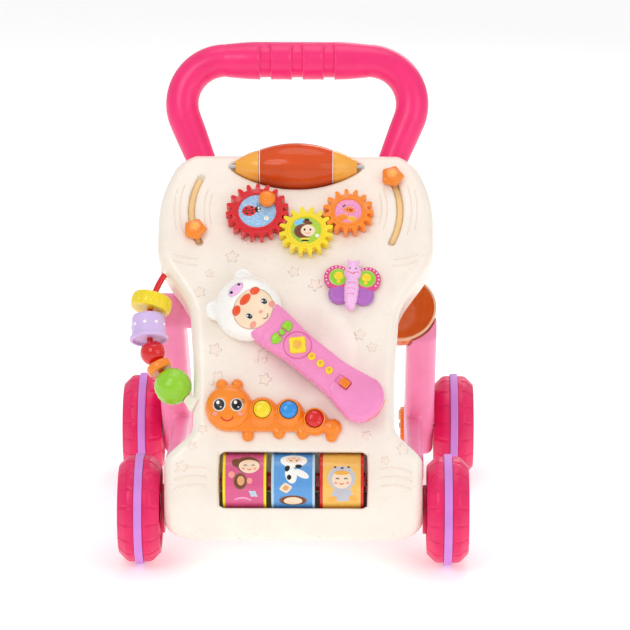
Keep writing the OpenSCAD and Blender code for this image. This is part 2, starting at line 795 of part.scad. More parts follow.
// ---- inchworm ----
cat_buttons = [[-30.2, 0.6], [-4.5, 0.2], [20.4, -8.5]];
button_r = 8.5;
button_travel = 2;
module cat_frame() { at_face(0, cat_s, 0.1) children(); }
module inchworm_body() {
    color("#ff9a2e") cat_frame() difference() {
        union() {
            translate([-62.7, 3, 0]) pebble(23, 6, 9);
            for (x = [-70, -55]) translate([x, 26, 0]) pebble(6, 5, 4);
            for (i = [0:2]) translate([cat_buttons[i][0], cat_buttons[i][1] - 2, 0])
                pebble(15.5 - i, 6.3 - i * 0.2, 5);
            translate([38, -16, 0]) pebble(9, 5, 3);
            // Belly that joins the feet to the body
            translate([-56, -20, 0]) cube([86, 13, 5.5]);
            for (x = [-44, -14, 9, 37]) translate([x, -20.7 - abs(x + 5) / 12, 0]) pebble(6, 3, 3.5);
        }
        for (b = cat_buttons) translate([b[0], b[1], -1]) cylinder(r = button_r + slide_gap, h = 30);
    }
}
module cat_button(i) {
    cat_frame() translate([cat_buttons[i][0], cat_buttons[i][1], button_travel + 0.5]) {
        cylinder(r = button_r, h = 8);
        translate([0, 0, 8]) dome(button_r, 4);
    }
}
module button_yellow() { color("#f7d92e") cat_button(0); }
module button_blue() { color("#2d8fe0") cat_button(1); }
module button_red() { color("#e23426") cat_button(2); }

// ---- rollers ----
roller_pitch = roller_w + 4.5;
module roller(i) {
    roller_frame((i - 1) * roller_pitch) rotate([0, 90, 0]) difference() {
        translate([0, 0, -roller_w / 2]) cylinder(r = roller_r, h = roller_w, $fn = 96);
        for (side = [-1, 1]) translate([0, 0, side * (roller_w / 2 - 5) - 10]) difference() {
            cylinder(r = roller_r - 3, h = 20);
            translate([0, 0, -1]) cylinder(r = 8, h = 22);
        }
        translate([0, 0, -roller_w]) cylinder(r = axle_r + running_fit, h = 2 * roller_w);
    }
}
module roller_left() { color("#f7d92e") roller(0); }
module roller_middle() { color("#9fd0ea") roller(1); }
module roller_right() { color("#ef5a3c") roller(2); }
module roller_axle() {
    color("#e23b36") roller_frame() {
        x_rod(axle_r, -window_half_w() - 6.5, window_half_w() + 6.5);
        for (x = [-roller_pitch / 2, roller_pitch / 2])
            x_rod_at(x, 9, roller_pitch - roller_w - 2 * slide_gap);
        for (side = [-1, 1]) x_rod_at(side * (1.5 * roller_w + 5.5), 9, 1.6);
    }
}
module x_rod_at(x, r, w) { translate([x, 0, 0]) x_rod(r, -w / 2, w / 2); }

// ---- beads ----
module rod_frame() { at_face(rod_at[0], rod_at[1], -rod_sink) children(); }
module bead_rod() {
    color("#e63a5a") rod_frame() {
        rod_torus(rod_r, rod_high - 5, rod_low + 3.5);
    }
    // Boss where the rod leaves the panel
    color("#fbeee0") difference() {
        rod_frame() rotate([0, 0, rod_low + 2]) translate([rod_arc_r, 0, 0]) rotate([90, 0, 0])
            cylinder(r1 = 9, r2 = 4.5, h = 9);
        body_solid();
    }
}
// Bead on the rod at an angle, drawn with its axis along Z, Z up the rod
module bead(i) {
    rod_frame() difference() {
        rotate([0, 0, bead_hub_angles[i]]) translate([rod_arc_r, 0, 0]) rotate([90, 0, 0]) children();
        rod_torus(rod_r + slide_gap, 130, 250);
    }
}
module cut_ball(r, half) {
    intersection() {
        sphere(r = r);
        cylinder(r = r + 1, h = 2 * half, center = true);
    }
}
module bead_yellow() {
    color("#f4e238") bead(0) cut_ball(20.3, 7.2);
}
module bead_lilac() {
    color("#cdb4e8") bead(1) {
        cylinder(r = 17.5, h = 26, center = true);
        translate([0, 0, -13]) cylinder(r = 19, h = 4);
    }
}
module bead_red() { color("#d92a2a") bead(2) cut_ball(12.5, 10.8); }
module bead_orange() { color("#ff9330") bead(3) cut_ball(12.5, 4.4); }
module bead_green() { color("#7dc242") bead(4) cut_ball(big_bead_r, big_bead_r - 0.4); }

// ---- ball cup ----
module cup_frame() { translate(cup_at) rotate([90 - cup_tilt, 0, 0]) children(); }
module ball_cup() {
    color("#ff7a33", 0.75) cup_frame() difference() {
        sphere(r = cup_r, $fn = 64);
        sphere(r = cup_r - cup_wall, $fn = 64);
        cylinder(r = 2 * cup_r, h = 2 * cup_r);
    }
}
module cup_rim() {
    color("#ffc9a0", 0.8) cup_frame() rotate_extrude($fn = 64)
        translate([cup_r - cup_wall, 0.05]) square([cup_wall, 3.5]);
}

// ---- phone ----
module phone_frame(h = 0) {
    at_face(phone_at[0], phone_at[1], 0.6 + h) rotate([0, 0, phone_turn]) children();
}
phone_tail = [0, -phone_len / 2];
phone_head_at = [0, phone_len / 2];
// The phone's long body, t inside its outer skin
module phone_body(t, h) {
    neck = [0, phone_len / 2 - 20];
    difference() {
        union() {
            translate(phone_tail) cylinder(r = phone_tail_r - t, h = h);
            translate(neck) cylinder(r = phone_neck_r - t, h = h);
            linear_extrude(h) link_sides(phone_tail, phone_tail_r - t, neck, phone_neck_r - t);
        }
        translate([phone_head_at[0], phone_head_at[1], -1])
            cylinder(r = phone_head_r + seat_gap + t, h = h + 2);
    }
}
flower_at = [0, 7.5];
phone_buttons_at = [[0, -10.5], [0, -21.5], [0, -32.5]];
phone_switch_at = [0, -53];
switch_slide = 4;
module phone_back() {
    color("#e972ad") phone_frame() difference() {
        phone_body(0, phone_half_t);
        translate([0, 0, 2.5]) phone_body(2.5, phone_half_t);
    }
}
module phone_front() {
    color("#f583bb") phone_frame(phone_half_t + 0.05) difference() {
        phone_body(0, phone_half_t - 1);
        translate([0, 0, -1]) phone_body(2.5, phone_half_t - 2.5);
        for (p = phone_buttons_at) translate([p[0], p[1], -1]) cylinder(r = 4 + slide_gap, h = 30);
        translate([flower_at[0], flower_at[1], -1]) cylinder(r = 11 + slide_gap, h = 30);
        translate([phone_switch_at[0], phone_switch_at[1], phone_half_t - 3.5])
            translate([-4 - slide_gap, -5 - slide_gap, 0])
                cube([8 + 2 * slide_gap, 10 + switch_slide + 2 * slide_gap, 10]);
    }
}
module phone_head() {
    color("#fff7ef") phone_frame() translate([phone_head_at[0], phone_head_at[1], 0]) difference() {
        union() {
            cylinder(r = phone_head_r, h = 14);
            translate([0, 0, 14]) dome(phone_head_r, 15);
            for (x = [-1, 1]) translate([x * 25, 27, 4]) cylinder(r = 10, h = 8);
        }
        translate([0, 0, 2.5]) cylinder(r = phone_head_r - 2.5, h = 12);
    }
}
module phone_button(place, r) {
    phone_frame(phone_half_t + 1.5) translate([place[0], place[1], 0]) {
        cylinder(r = r, h = phone_half_t - 1);
        translate([0, 0, phone_half_t - 1]) dome(r, 1.6);
    }
}
module flower_button() {
    color("#f7d92e") phone_button(flower_at, 11);
}
module phone_button_upper() { color("#f7d92e") phone_button(phone_buttons_at[0], 4); }
module phone_button_middle() { color("#f7d92e") phone_button(phone_buttons_at[1], 4); }
module phone_button_lower() { color("#f7d92e") phone_button(phone_buttons_at[2], 4); }
module phone_switch() {
    color("#ff8a2a") phone_frame(2 * phone_half_t - 3.2)
        translate([phone_switch_at[0] - 4, phone_switch_at[1] - 5, 0]) cube([8, 10, 4.2]);
}

front_shell();
back_shell();
handle();
leg_left();
leg_right();
axles();
front_bushes();
screws();
drum_axle();
pivot_pins();
roller_axle();
inchworm_body();
bead_rod();
ball_cup();
cup_rim();
batteries();
circuit_board();
speaker();
wheel_front_left();
wheel_front_right();
wheel_rear_left();
wheel_rear_right();
band_front_left();
band_front_right();
band_rear_left();
band_rear_right();
drum_barrel();
drum_caps();
drum_beads();
slider_left();
slider_right();
gear_red();
gear_yellow();
gear_orange();
crank_knob();
butterfly_body();
butterfly_wings();
button_yellow();
button_blue();
button_red();
roller_left();
roller_middle();
roller_right();
bead_yellow();
bead_lilac();
bead_red();
bead_orange();
bead_green();
phone_front();
phone_back();
phone_head();
flower_button();
phone_button_upper();
phone_button_middle();
phone_button_lower();
phone_switch();
battery_door();
power_switch();
speed_knob_left();
speed_knob_right();
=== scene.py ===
# Looks of the baby walker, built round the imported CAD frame. Sizes are in millimetres until a mesh is made.
import math

import bpy
import numpy as np
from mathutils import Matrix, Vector


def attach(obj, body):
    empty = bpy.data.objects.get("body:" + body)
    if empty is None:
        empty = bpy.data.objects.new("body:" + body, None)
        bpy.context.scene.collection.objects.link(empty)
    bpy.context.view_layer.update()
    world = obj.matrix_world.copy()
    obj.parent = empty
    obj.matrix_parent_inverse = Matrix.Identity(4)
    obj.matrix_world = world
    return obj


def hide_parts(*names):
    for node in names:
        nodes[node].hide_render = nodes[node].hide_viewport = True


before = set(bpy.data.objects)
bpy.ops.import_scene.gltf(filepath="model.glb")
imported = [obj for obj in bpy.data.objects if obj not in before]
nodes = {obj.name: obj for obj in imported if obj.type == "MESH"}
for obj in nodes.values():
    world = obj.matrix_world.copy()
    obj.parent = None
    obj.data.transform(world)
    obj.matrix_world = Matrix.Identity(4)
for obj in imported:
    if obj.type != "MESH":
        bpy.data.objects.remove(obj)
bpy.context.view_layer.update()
COARSE = 1.0

# ---- the panel's curved face ----
FOOT = math.radians(22)
FACE_R, FACE_L = 700.0, 364.0
FACE_Y = -177 + FACE_R * math.cos(FOOT)
FACE_Z = 84.6 - FACE_R * math.sin(FOOT)
BELLY_R = 43.5
BELLY_Y = -177 + BELLY_R * math.cos(FOOT)
BELLY_Z = 84.6 - BELLY_R * math.sin(FOOT)
BELLY_BACK, BELLY_TOP, BELLY_LOW = -92.0, 140.0, 24.8
DEPTH, SEAM = 50.0, 28.0
AXLE_Y, AXLE_Z = 135, 54.5
PHONE_AT, PHONE_TURN = (9.5, 135.5, 0.6), 50.3
SLOT_AT, SLOT_R, SLOT_SPAN = (17.5, 294.5), 86, 26
ROLLER_AT = (0, 13.4, -22)
DRUM_S, LENS_R, LENS_SINK = 345, 103.0, 79
BODY = "walker_frame"


def ease(t):
    t = np.clip(t, 0, 1)
    return t * t * (3 - 2 * t)


def face_yz(s, h):
    """World y and z of the face at s, raised by h. Below s = 0 it curls under the belly."""
    on_face, up, under = s >= 0, FOOT + np.maximum(s, 0) / FACE_R, FOOT + np.minimum(s, 0) / BELLY_R
    y = np.where(on_face, FACE_Y - (FACE_R + h) * np.cos(up), BELLY_Y - (BELLY_R + h) * np.cos(under))
    z = np.where(on_face, FACE_Z + (FACE_R + h) * np.sin(up), BELLY_Z + (BELLY_R + h) * np.sin(under))
    return y, z


def unroll(p):
    """Points (x, s, h) on the face, as world points: s runs up the face, h stands out of it."""
    x, s, h = np.asarray(p, float).T
    return np.stack([x, *face_yz(s, h)], 1)


def half_w(s):
    """Half width of the panel at s, down to the belly's underside."""
    s = np.asarray(s, float)
    w = 98 + 4 * ease((s - 110) / 80) + 34.3 * ease((s - 176) / 78) + 27.5 * (1 - ease((s - 30) / 37))
    w = w - 24 * (np.maximum(0, s - 283) / 81) ** 2
    t = np.clip((s - 346) / 18, 0, 1)
    w = w - 18 * (1 - np.sqrt(1 - t * t))
    z = BELLY_Z + BELLY_R * np.sin(FOOT + np.minimum(s, 0) / BELLY_R)
    corner = 97 + np.sqrt(np.maximum(0, 900 - np.maximum(0, 54.8 - z) ** 2))
    return np.where(s < 0, np.minimum(w, corner), w)


class Frame:
    """A flat frame: origin and three axes, in millimetres."""

    def __init__(self, origin, x, y, z):
        self.o, self.m = np.array(origin, float), np.array([x, y, z], float)

    def __call__(self, p):
        return np.asarray(p, float) @ self.m + self.o

    def moved(self, x=0, y=0, z=0):
        return Frame(self([x, y, z]), *self.m)

    def turned(self, deg):
        c, s = math.cos(math.radians(deg)), math.sin(math.radians(deg))
        return Frame(self.o, c * self.m[0] + s * self.m[1], c * self.m[1] - s * self.m[0], self.m[2])


def at_face(x, s, h=0.0):
    a = FOOT + s / FACE_R
    return Frame(unroll([[x, s, h]])[0], [1, 0, 0], [0, math.sin(a), math.cos(a)],
                 [0, -math.cos(a), math.sin(a)])


def x_axis(x, y, z, side=1):
    """Frame whose third axis is +X, or -X for side -1."""
    return Frame([x, y, z], [0, side, 0], [0, 0, 1], [side, 0, 0])


# ---- mesh building ----
class Piece:
    def __init__(self):
        self.parts, self.mats = [], []

    def add(self, mesh, mat):
        if mat not in self.mats:
            self.mats.append(mat)
        verts, faces = mesh
        self.parts.append((np.asarray(verts, float), faces, self.mats.index(mat)))
        return self

    def add_net(self, field, lo, hi, step, place, mat):
        """Adds the solid where field is negative, put in its place."""
        verts, faces = surface_net(field, lo, hi, step * COARSE)
        return self.add((place(verts), faces), mat)

    def make(self, name, body, slot, replaces=(), sharp=None):
        verts = np.concatenate([v for v, f, m in self.parts]) * 0.001
        loops, starts, mats, base, at = [], [], [], 0, 0
        for v, groups, m in self.parts:
            for f in groups:
                f = np.asarray(f, int)
                if not len(f):
                    continue
                loops.append((f + base).ravel())
                starts.append(at + np.arange(len(f)) * f.shape[1])
                at += f.size
                mats.append(np.full(len(f), m))
            base += len(v)
        me = bpy.data.meshes.new(name)
        loops, starts, mats = np.concatenate(loops), np.concatenate(starts), np.concatenate(mats)
        me.vertices.add(len(verts))
        me.vertices.foreach_set("co", verts.astype(np.float32).ravel())
        me.loops.add(len(loops))
        me.loops.foreach_set("vertex_index", loops.astype(np.int32))
        me.polygons.add(len(starts))
        me.polygons.foreach_set("loop_start", starts.astype(np.int32))
        for m in self.mats:
            me.materials.append(m)
        me.polygons.foreach_set("material_index", mats.astype(np.int32))
        me.update(calc_edges=True)
        me.validate()
        me.polygons.foreach_set("use_smooth", np.ones(len(me.polygons), bool))
        if sharp:
            me.set_sharp_from_angle(angle=math.radians(sharp))
        ob = bpy.data.objects.new(name, me)
        bpy.context.scene.collection.objects.link(ob)
        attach(ob, body)
        if replaces:
            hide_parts(*replaces)
        return ob


def outward(verts, groups):
    """The faces, turned so that a closed mesh's normals point out."""
    verts = np.asarray(verts, float)
    total = 0.0
    for f in groups:
        f = np.asarray(f, int)
        if len(f):
            a = verts[f[:, 0]]
            for k in range(1, f.shape[1] - 1):
                total += np.einsum("ij,ij->i", a, np.cross(verts[f[:, k]], verts[f[:, k + 1]])).sum()
    if total < 0:
        groups = [np.asarray(f, int)[:, ::-1] if len(f) else f for f in groups]
    return verts, groups


def surface_net(field, lo, hi, step):
    """A closed mesh of field < 0, on a grid."""
    axes = [np.arange(lo[i], hi[i] + step, step) for i in range(3)]
    v = field(*np.meshgrid(*axes, indexing="ij", sparse=True)).astype(np.float32)
    cells = np.array(v.shape) - 1
    keys, points, quads = [], [], []
    for axis in range(3):
        a, b = [slice(None)] * 3, [slice(None)] * 3
        a[axis], b[axis] = slice(0, -1), slice(1, None)
        va, vb = v[tuple(a)], v[tuple(b)]
        cross = (va < 0) != (vb < 0)
        idx = np.argwhere(cross)
        fa, fb = va[cross], vb[cross]
        p = idx.astype(float)
        p[:, axis] += fa / (fa - fb)
        o1, o2 = [k for k in range(3) if k != axis]
        around = []
        for d1, d2 in ((-1, -1), (0, -1), (0, 0), (-1, 0)):
            c = idx.copy()
            c[:, o1] += d1
            c[:, o2] += d2
            around.append(np.ravel_multi_index(np.clip(c, 0, cells - 1).T, cells))
            keys.append(around[-1])
            points.append(p)
        quad = np.stack(around, 1)
        flip = (fa < 0) == (axis == 1)
        quad[flip] = quad[flip][:, ::-1]
        quads.append(quad)
    keys, points = np.concatenate(keys), np.concatenate(points)
    unique, inverse = np.unique(keys, return_inverse=True)
    count = np.bincount(inverse)
    verts = np.stack([np.bincount(inverse, points[:, k]) / count for k in range(3)], 1)
    verts = verts * step + np.array([a[0] for a in axes])
    return verts, [np.searchsorted(unique, np.concatenate(quads))]


def smax(a, b, k):
    h = np.maximum(k - np.abs(a - b), 0) / k
    return np.maximum(a, b) + h * h * k * 0.25


def smin(a, b, k):
    return -smax(-a, -b, k)


def both(a, b, r):
    """Where a and b are both negative, with a round of radius r between them."""
    p, q = np.maximum(a + r, 0), np.maximum(b + r, 0)
    return np.minimum(np.maximum(a, b) + r, 0) + np.sqrt(p * p + q * q) - r


def length(*xs):
    return np.sqrt(sum(x * x for x in xs))


def fillet(points):
    """A profile of (a, b, radius) corners, as a polyline with each corner rounded."""
    pts = [np.array(p[:2], float) for p in points]
    out = [pts[0]]
    for i in range(1, len(pts) - 1):
        p, r = pts[i], points[i][2] if len(points[i]) > 2 else 0
        u, w = pts[i - 1] - p, pts[i + 1] - p
        lu, lw = np.linalg.norm(u), np.linalg.norm(w)
        u, w = u / lu, w / lw
        turn = math.acos(max(-1, min(1, float(u @ w))))
        if r <= 0 or turn > math.pi - 0.02:
            out.append(p)
            continue
        back = min(r / math.tan(turn / 2), 0.49 * lu, 0.49 * lw)
        n = 7
        for k in range(n + 1):
            t = k / n
            out.append((1 - t) ** 2 * (p + u * back) + 2 * t * (1 - t) * p + t * t * (p + w * back))
    out.append(pts[-1])
    return np.array(out)


def lathe(profile, n, place, bend=None, closed=False):
    """Turns a profile of (r, z) round the frame's third axis. bend(angle, r, z) may move the points."""
    prof = np.array(profile, float)
    a = np.arange(n) * 2 * math.pi / n
    A, R = np.meshgrid(a, prof[:, 0], indexing="ij")
    Z = np.broadcast_to(prof[:, 1], A.shape)
    if bend:
        R, Z = bend(A, R, Z)
    v = np.stack([R * np.cos(A), R * np.sin(A), Z], 2).reshape(-1, 3)
    m = len(prof)
    i, j = np.meshgrid(np.arange(n), np.arange(m if closed else m - 1), indexing="ij")
    i, j = i.ravel(), j.ravel()
    ni, nj = (i + 1) % n, (j + 1) % m
    quads = np.stack([i * m + j, ni * m + j, ni * m + nj, i * m + nj], 1)
    groups = [quads]
    if not closed:
        for end in (0, m - 1):
            if prof[end, 0] > 1e-6 or bend:
                centre = len(v)
                v = np.vstack([v, [[0, 0, v[end::m, 2].mean()]]])
                k = np.arange(n)
                tri = np.stack([k * m + end, (k + 1) % n * m + end, np.full(n, centre)], 1)
                groups.append(tri[:, ::-1] if end == 0 else tri)
            else:
                quads[quads % m == end] = end
                keep = [len(set(q)) == 4 for q in quads]
                tri = quads[~np.array(keep)]
                quads = quads[keep]
                groups[0] = quads
                groups.append(np.array([list(dict.fromkeys(q)) for q in tri]))
    return outward(place(v), groups)


def sweep(path, radii, place, sides=24, across=(0, 0, 1), lobes=None):
    """A closed tube along a path of points. across is a direction square to the path."""
    path = np.asarray(path, float)
    radii = np.broadcast_to(np.asarray(radii, float), (len(path),))
    t = np.gradient(path, axis=0)
    t /= np.linalg.norm(t, axis=1)[:, None]
    n = np.broadcast_to(np.array(across, float), t.shape)
    n = n - (n * t).sum(1)[:, None] * t
    n /= np.linalg.norm(n, axis=1)[:, None]
    b = np.cross(t, n)
    a = np.arange(sides) * 2 * math.pi / sides
    ring = radii[:, None] * np.ones(sides) if lobes is None else lobes(radii[:, None], a[None, :])
    v = (path[:, None] + ring[..., None] * (np.cos(a)[None, :, None] * b[:, None]
                                            + np.sin(a)[None, :, None] * n[:, None])).reshape(-1, 3)
    m = len(path)
    i, j = [k.ravel() for k in np.meshgrid(np.arange(m - 1), np.arange(sides), indexing="ij")]
    nj = (j + 1) % sides
    quads = np.stack([i * sides + j, i * sides + nj, (i + 1) * sides + nj, (i + 1) * sides + j], 1)
    v = np.vstack([v, path[0], path[-1]])
    k = np.arange(sides)
    last, nk = (m - 1) * sides, (k + 1) % sides
    caps = [np.stack([nk, k, np.full(sides, m * sides)], 1),
            np.stack([last + k, last + nk, np.full(sides, m * sides + 1)], 1)]
    return outward(place(v), [quads, np.vstack(caps)])


def blob(cx, cy, rx, ry, place, turn=0.0, thick=0.5, base=0.0, under=0.4, shape=None, top=None,
         rings=5, n=40):
    """A thin raised patch, oval or shaped. top(x, y) is the height of the surface it lies on."""
    a = np.arange(n) * 2 * math.pi / n
    k = np.ones(n) if shape is None else shape(a)
    c, s = math.cos(math.radians(turn)), math.sin(math.radians(turn))
    ex, ey = rx * k * np.cos(a), ry * k * np.sin(a)
    ex, ey = c * ex - s * ey, s * ex + c * ey
    f = np.array([0.0] + [(i + 1) / rings for i in range(rings)])

    def layer(level, fractions):
        x = cx + np.outer(fractions, ex)
        y = cy + np.outer(fractions, ey)
        rise = base + (0 if top is None else top(x, y))
        return np.stack([x, y, rise + level(fractions)[:, None] + 0 * x], 2).reshape(-1, 3)

    upper = layer(lambda t: thick * (1 - t ** 4) ** 0.5 * 0.999, f[1:])
    centre = layer(lambda t: thick + 0 * t, f[:1])[:1]
    lower = layer(lambda t: -under * (1 - t ** 4), f[1:-1])
    low_c = layer(lambda t: -under + 0 * t, f[:1])[:1]
    v = np.vstack([upper, centre, lower, low_c])
    k = np.arange(n)
    nk = (k + 1) % n
    quads, tris = [], []
    for r in range(rings - 1):
        quads.append(np.stack([r * n + k, (r + 1) * n + k, (r + 1) * n + nk, r * n + nk], 1))
    tris.append(np.stack([np.full(n, rings * n), k, nk], 1))
    off = rings * n + 1
    for r in range(rings - 1):
        outer = (off + (r + 1) * n) if r < rings - 2 else (rings - 1) * n
        quads.append(np.stack([off + r * n + nk, outer + nk, outer + k, off + r * n + k], 1))
    tris.append(np.stack([np.full(n, len(v) - 1), off + nk, off + k], 1))
    return outward(place(v), [np.vstack(quads), np.vstack(tris)])


def ribbon(points, width, place, thick=0.5, base=0.0, top=None, under=0.3):
    """A raised line along flat points."""
    p = np.asarray(points, float)
    t = np.gradient(p, axis=0)
    t /= np.linalg.norm(t, axis=1)[:, None]
    side = np.stack([-t[:, 1], t[:, 0]], 1)
    taper = np.clip(np.minimum(np.arange(len(p)) + 0.6, len(p) - 0.4 - np.arange(len(p))) / 1.6, 0, 1) ** 0.5
    section = [(-1, 0), (-0.6, 0.75), (0, 1), (0.6, 0.75), (1, 0), (0, -under / thick)]
    rows = []
    for a, h in section:
        q = p + side * (a * width / 2 * taper)[:, None]
        z = base + (0 if top is None else top(q[:, 0], q[:, 1])) + h * thick * (taper if h > 0 else 1)
        rows.append(np.stack([q[:, 0], q[:, 1], z + 0 * q[:, 0]], 1))
    v = np.stack(rows, 1).reshape(-1, 3)
    k, m = len(section), len(p)
    i, j = [x.ravel() for x in np.meshgrid(np.arange(m - 1), np.arange(k), indexing="ij")]
    nj = (j + 1) % k
    quads = np.stack([i * k + j, i * k + nj, (i + 1) * k + nj, (i + 1) * k + j], 1)
    caps = [np.array([[0, 1, 2, 5], [2, 3, 4, 5]]), (m - 1) * k + np.array([[5, 2, 1, 0], [5, 4, 3, 2]])]
    return outward(place(v), [np.vstack([quads] + caps)])


def arc(cx, cy, r, a0, a1, n=16, ry=None):
    a = np.radians(np.linspace(a0, a1, n))
    return np.stack([cx + r * np.cos(a), cy + (ry or r) * np.sin(a)], 1)


def star(points=5, depth=0.42):
    return lambda a: 1 - depth * (0.5 - 0.5 * np.cos(points * (a - math.pi / 2)))


def petals(count, depth=0.25):
    return lambda a: 1 - depth * np.abs(np.sin(count * a / 2))


# ---- materials ----
def colour(rgb):
    return [(c / 255) ** 2.2 for c in rgb] + [1]


def plastic(name, rgb, rough=0.28, vary=0.05, grain=0.02, coat=0.0, through=0.0, soft=0.0, ior=1.46,
            flecks=None, metal=0.0):
    """Moulded plastic or metal: slight colour variation, worn edges, uneven gloss and a fine grain."""
    m = bpy.data.materials.new(name)
    m.use_nodes = True
    t = m.node_tree
    b = t.nodes["Principled BSDF"]
    space = t.nodes.new("ShaderNodeTexCoord").outputs["Object"]

    def noise(scale, detail):
        n = t.nodes.new("ShaderNodeTexNoise")
        n.inputs["Scale"].default_value = scale
        n.inputs["Detail"].default_value = detail
        t.links.new(space, n.inputs["Vector"])
        return n.outputs["Fac"]

    def mix(fac, a, c):
        n = t.nodes.new("ShaderNodeMix")
        n.data_type = "RGBA"
        t.links.new(fac, n.inputs["Factor"])
        for socket, value in ((n.inputs[6], a), (n.inputs[7], c)):
            if isinstance(value, bpy.types.NodeSocket):
                t.links.new(value, socket)
            else:
                socket.default_value = value
        return n.outputs[2]

    def span(value, low, high, to_low, to_high):
        n = t.nodes.new("ShaderNodeMapRange")
        t.links.new(value, n.inputs["Value"])
        for key, x in zip(("From Min", "From Max", "To Min", "To Max"), (low, high, to_low, to_high)):
            n.inputs[key].default_value = x
        return n.outputs["Result"]

    base = colour(rgb)
    dark = [c * (1 - vary) for c in base[:3]] + [1]
    light = [min(1, c * (1 + vary) + vary * 0.02) for c in base[:3]] + [1]
    shade = mix(span(noise(38, 3), 0.3, 0.7, 0, 1), dark, light)
    worn = [c + (1 - c) * 0.14 for c in base[:3]] + [1]
    edge = span(t.nodes.new("ShaderNodeNewGeometry").outputs["Pointiness"], 0.53, 0.62, 0, 0.7)
    shade = mix(edge, shade, worn)
    if flecks:
        shade = mix(span(noise(900, 1), 0.60, 0.66, 0, 1), shade, colour(flecks))
    t.links.new(shade, b.inputs["Base Color"])
    t.links.new(span(noise(140, 4), 0.3, 0.7, max(0.03, rough - 0.05), rough + 0.07), b.inputs["Roughness"])
    bump = t.nodes.new("ShaderNodeBump")
    bump.inputs["Strength"].default_value = grain * 10
    bump.inputs["Distance"].default_value = 0.0001
    t.links.new(noise(1400, 2), bump.inputs["Height"])
    t.links.new(bump.outputs["Normal"], b.inputs["Normal"])
    b.inputs["IOR"].default_value = ior
    b.inputs["Metallic"].default_value = metal
    b.inputs["Coat Weight"].default_value = coat
    b.inputs["Coat Roughness"].default_value = 0.08
    b.inputs["Transmission Weight"].default_value = through
    b.inputs["Subsurface Weight"].default_value = soft
    b.inputs["Subsurface Radius"].default_value = (0.004, 0.002, 0.0015)
    return m


cream = plastic("cream_shell", (253, 240, 227), 0.3, 0.03, 0.02, coat=0.25, soft=0.08)
cream_line = plastic("cream_relief", (252, 235, 220), 0.34, 0.03)
pink_handle = plastic("handle_pink", (250, 42, 118), 0.33, 0.05, 0.03, coat=0.15)
pink_leg = plastic("leg_pink", (255, 146, 190), 0.33, 0.05, 0.03, coat=0.15)
pink_wheel = plastic("wheel_pink", (236, 22, 98), 0.36, 0.07, 0.03, coat=0.1)
lilac_band = plastic("band_lilac", (212, 140, 228), 0.45, 0.06, 0.05)
steel = plastic("axle_steel", (196, 198, 202), 0.24, 0.06, 0.02, metal=1.0)
clear_red = plastic("drum_clear_red", (255, 112, 52), 0.07, 0.03, 0.005, coat=0.5, through=0.5, ior=1.12)
amber = plastic("drum_cap_amber", (255, 178, 66), 0.22, 0.05, 0.01, coat=0.4, soft=0.15)
gear_red = plastic("gear_red", (222, 18, 32), 0.2, 0.05, 0.01, coat=0.5)
yellow = plastic("toy_yellow", (252, 222, 30), 0.22, 0.05, 0.01, coat=0.4)
orange = plastic("toy_orange", (255, 138, 26), 0.24, 0.05, 0.01, coat=0.4)
peach_slot = plastic("slot_peach", (246, 205, 142), 0.4, 0.06, 0.03)
red = plastic("toy_red", (222, 20, 24), 0.18, 0.05, 0.01, coat=0.5)
blue = plastic("toy_blue", (42, 150, 232), 0.16, 0.05, 0.01, coat=0.5)
green = plastic("toy_green", (150, 214, 44), 0.26, 0.06, 0.02, coat=0.3)
lilac = plastic("toy_lilac", (218, 190, 240), 0.3, 0.05, 0.02, coat=0.2)
pale_blue = plastic("pale_blue", (186, 216, 236), 0.3, 0.05, 0.02, coat=0.2)
wing_purple = plastic("wing_purple", (178, 104, 190), 0.3, 0.06, 0.02, coat=0.2)
wing_pink = plastic("wing_pink", (232, 74, 140), 0.3, 0.06, 0.02, coat=0.2)
pale_pink = plastic("pale_pink", (248, 190, 236), 0.28, 0.04, 0.02, coat=0.3)
phone_pink = plastic("phone_pink", (246, 142, 196), 0.28, 0.05, 0.02, coat=0.3)
phone_deep = plastic("phone_deep_pink", (226, 92, 156), 0.32, 0.05, 0.02)
white = plastic("toy_white", (255, 250, 244), 0.28, 0.03, 0.01, coat=0.3, soft=0.05)
skin = plastic("doll_skin", (255, 222, 190), 0.32, 0.04, 0.01, coat=0.2)
blush = plastic("blush", (250, 158, 140), 0.4, 0.05)
fringe = plastic("fringe_orange_red", (240, 80, 30), 0.3, 0.06, 0.02)
black = plastic("print_black", (26, 18, 20), 0.3, 0.1)
brown = plastic("print_brown", (120, 62, 30), 0.35, 0.1)
tan = plastic("print_tan", (226, 166, 112), 0.35, 0.08)
magenta_card = plastic("card_magenta", (218, 22, 118), 0.25, 0.14, 0.01, coat=0.4)
blue_card = plastic("card_blue", (30, 142, 218), 0.25, 0.14, 0.01, coat=0.4)
yellow_card = plastic("card_yellow", (250, 184, 30), 0.25, 0.14, 0.01, coat=0.4)
sky_card = plastic("card_sky", (150, 196, 236), 0.25, 0.1, 0.01, coat=0.4, flecks=(226, 242, 255))
lime_card = plastic("card_lime", (168, 206, 40), 0.25, 0.1, 0.01, coat=0.4, flecks=(214, 236, 110))
rose_card = plastic("card_rose", (246, 146, 196), 0.25, 0.1, 0.01, coat=0.4, flecks=(255, 196, 226))
grey = plastic("print_grey", (196, 196, 204), 0.35, 0.08)
bead_blue = plastic("bead_sky", (120, 205, 250), 0.2, 0.05, 0.01, coat=0.3)
cup_orange = plastic("cup_orange", (255, 138, 66), 0.16, 0.04, 0.01, coat=0.3, through=0.12, soft=0.3)
rim_peach = plastic("rim_peach", (255, 206, 164), 0.18, 0.04, 0.01, coat=0.4, through=0.1, soft=0.2)
battery = plastic("battery_grey", (70, 74, 84), 0.35, 0.1)
board = plastic("board_green", (40, 120, 74), 0.45, 0.12, 0.04, flecks=(190, 170, 90))
speaker_dark = plastic("speaker_dark", (50, 52, 58), 0.6, 0.1, 0.05)


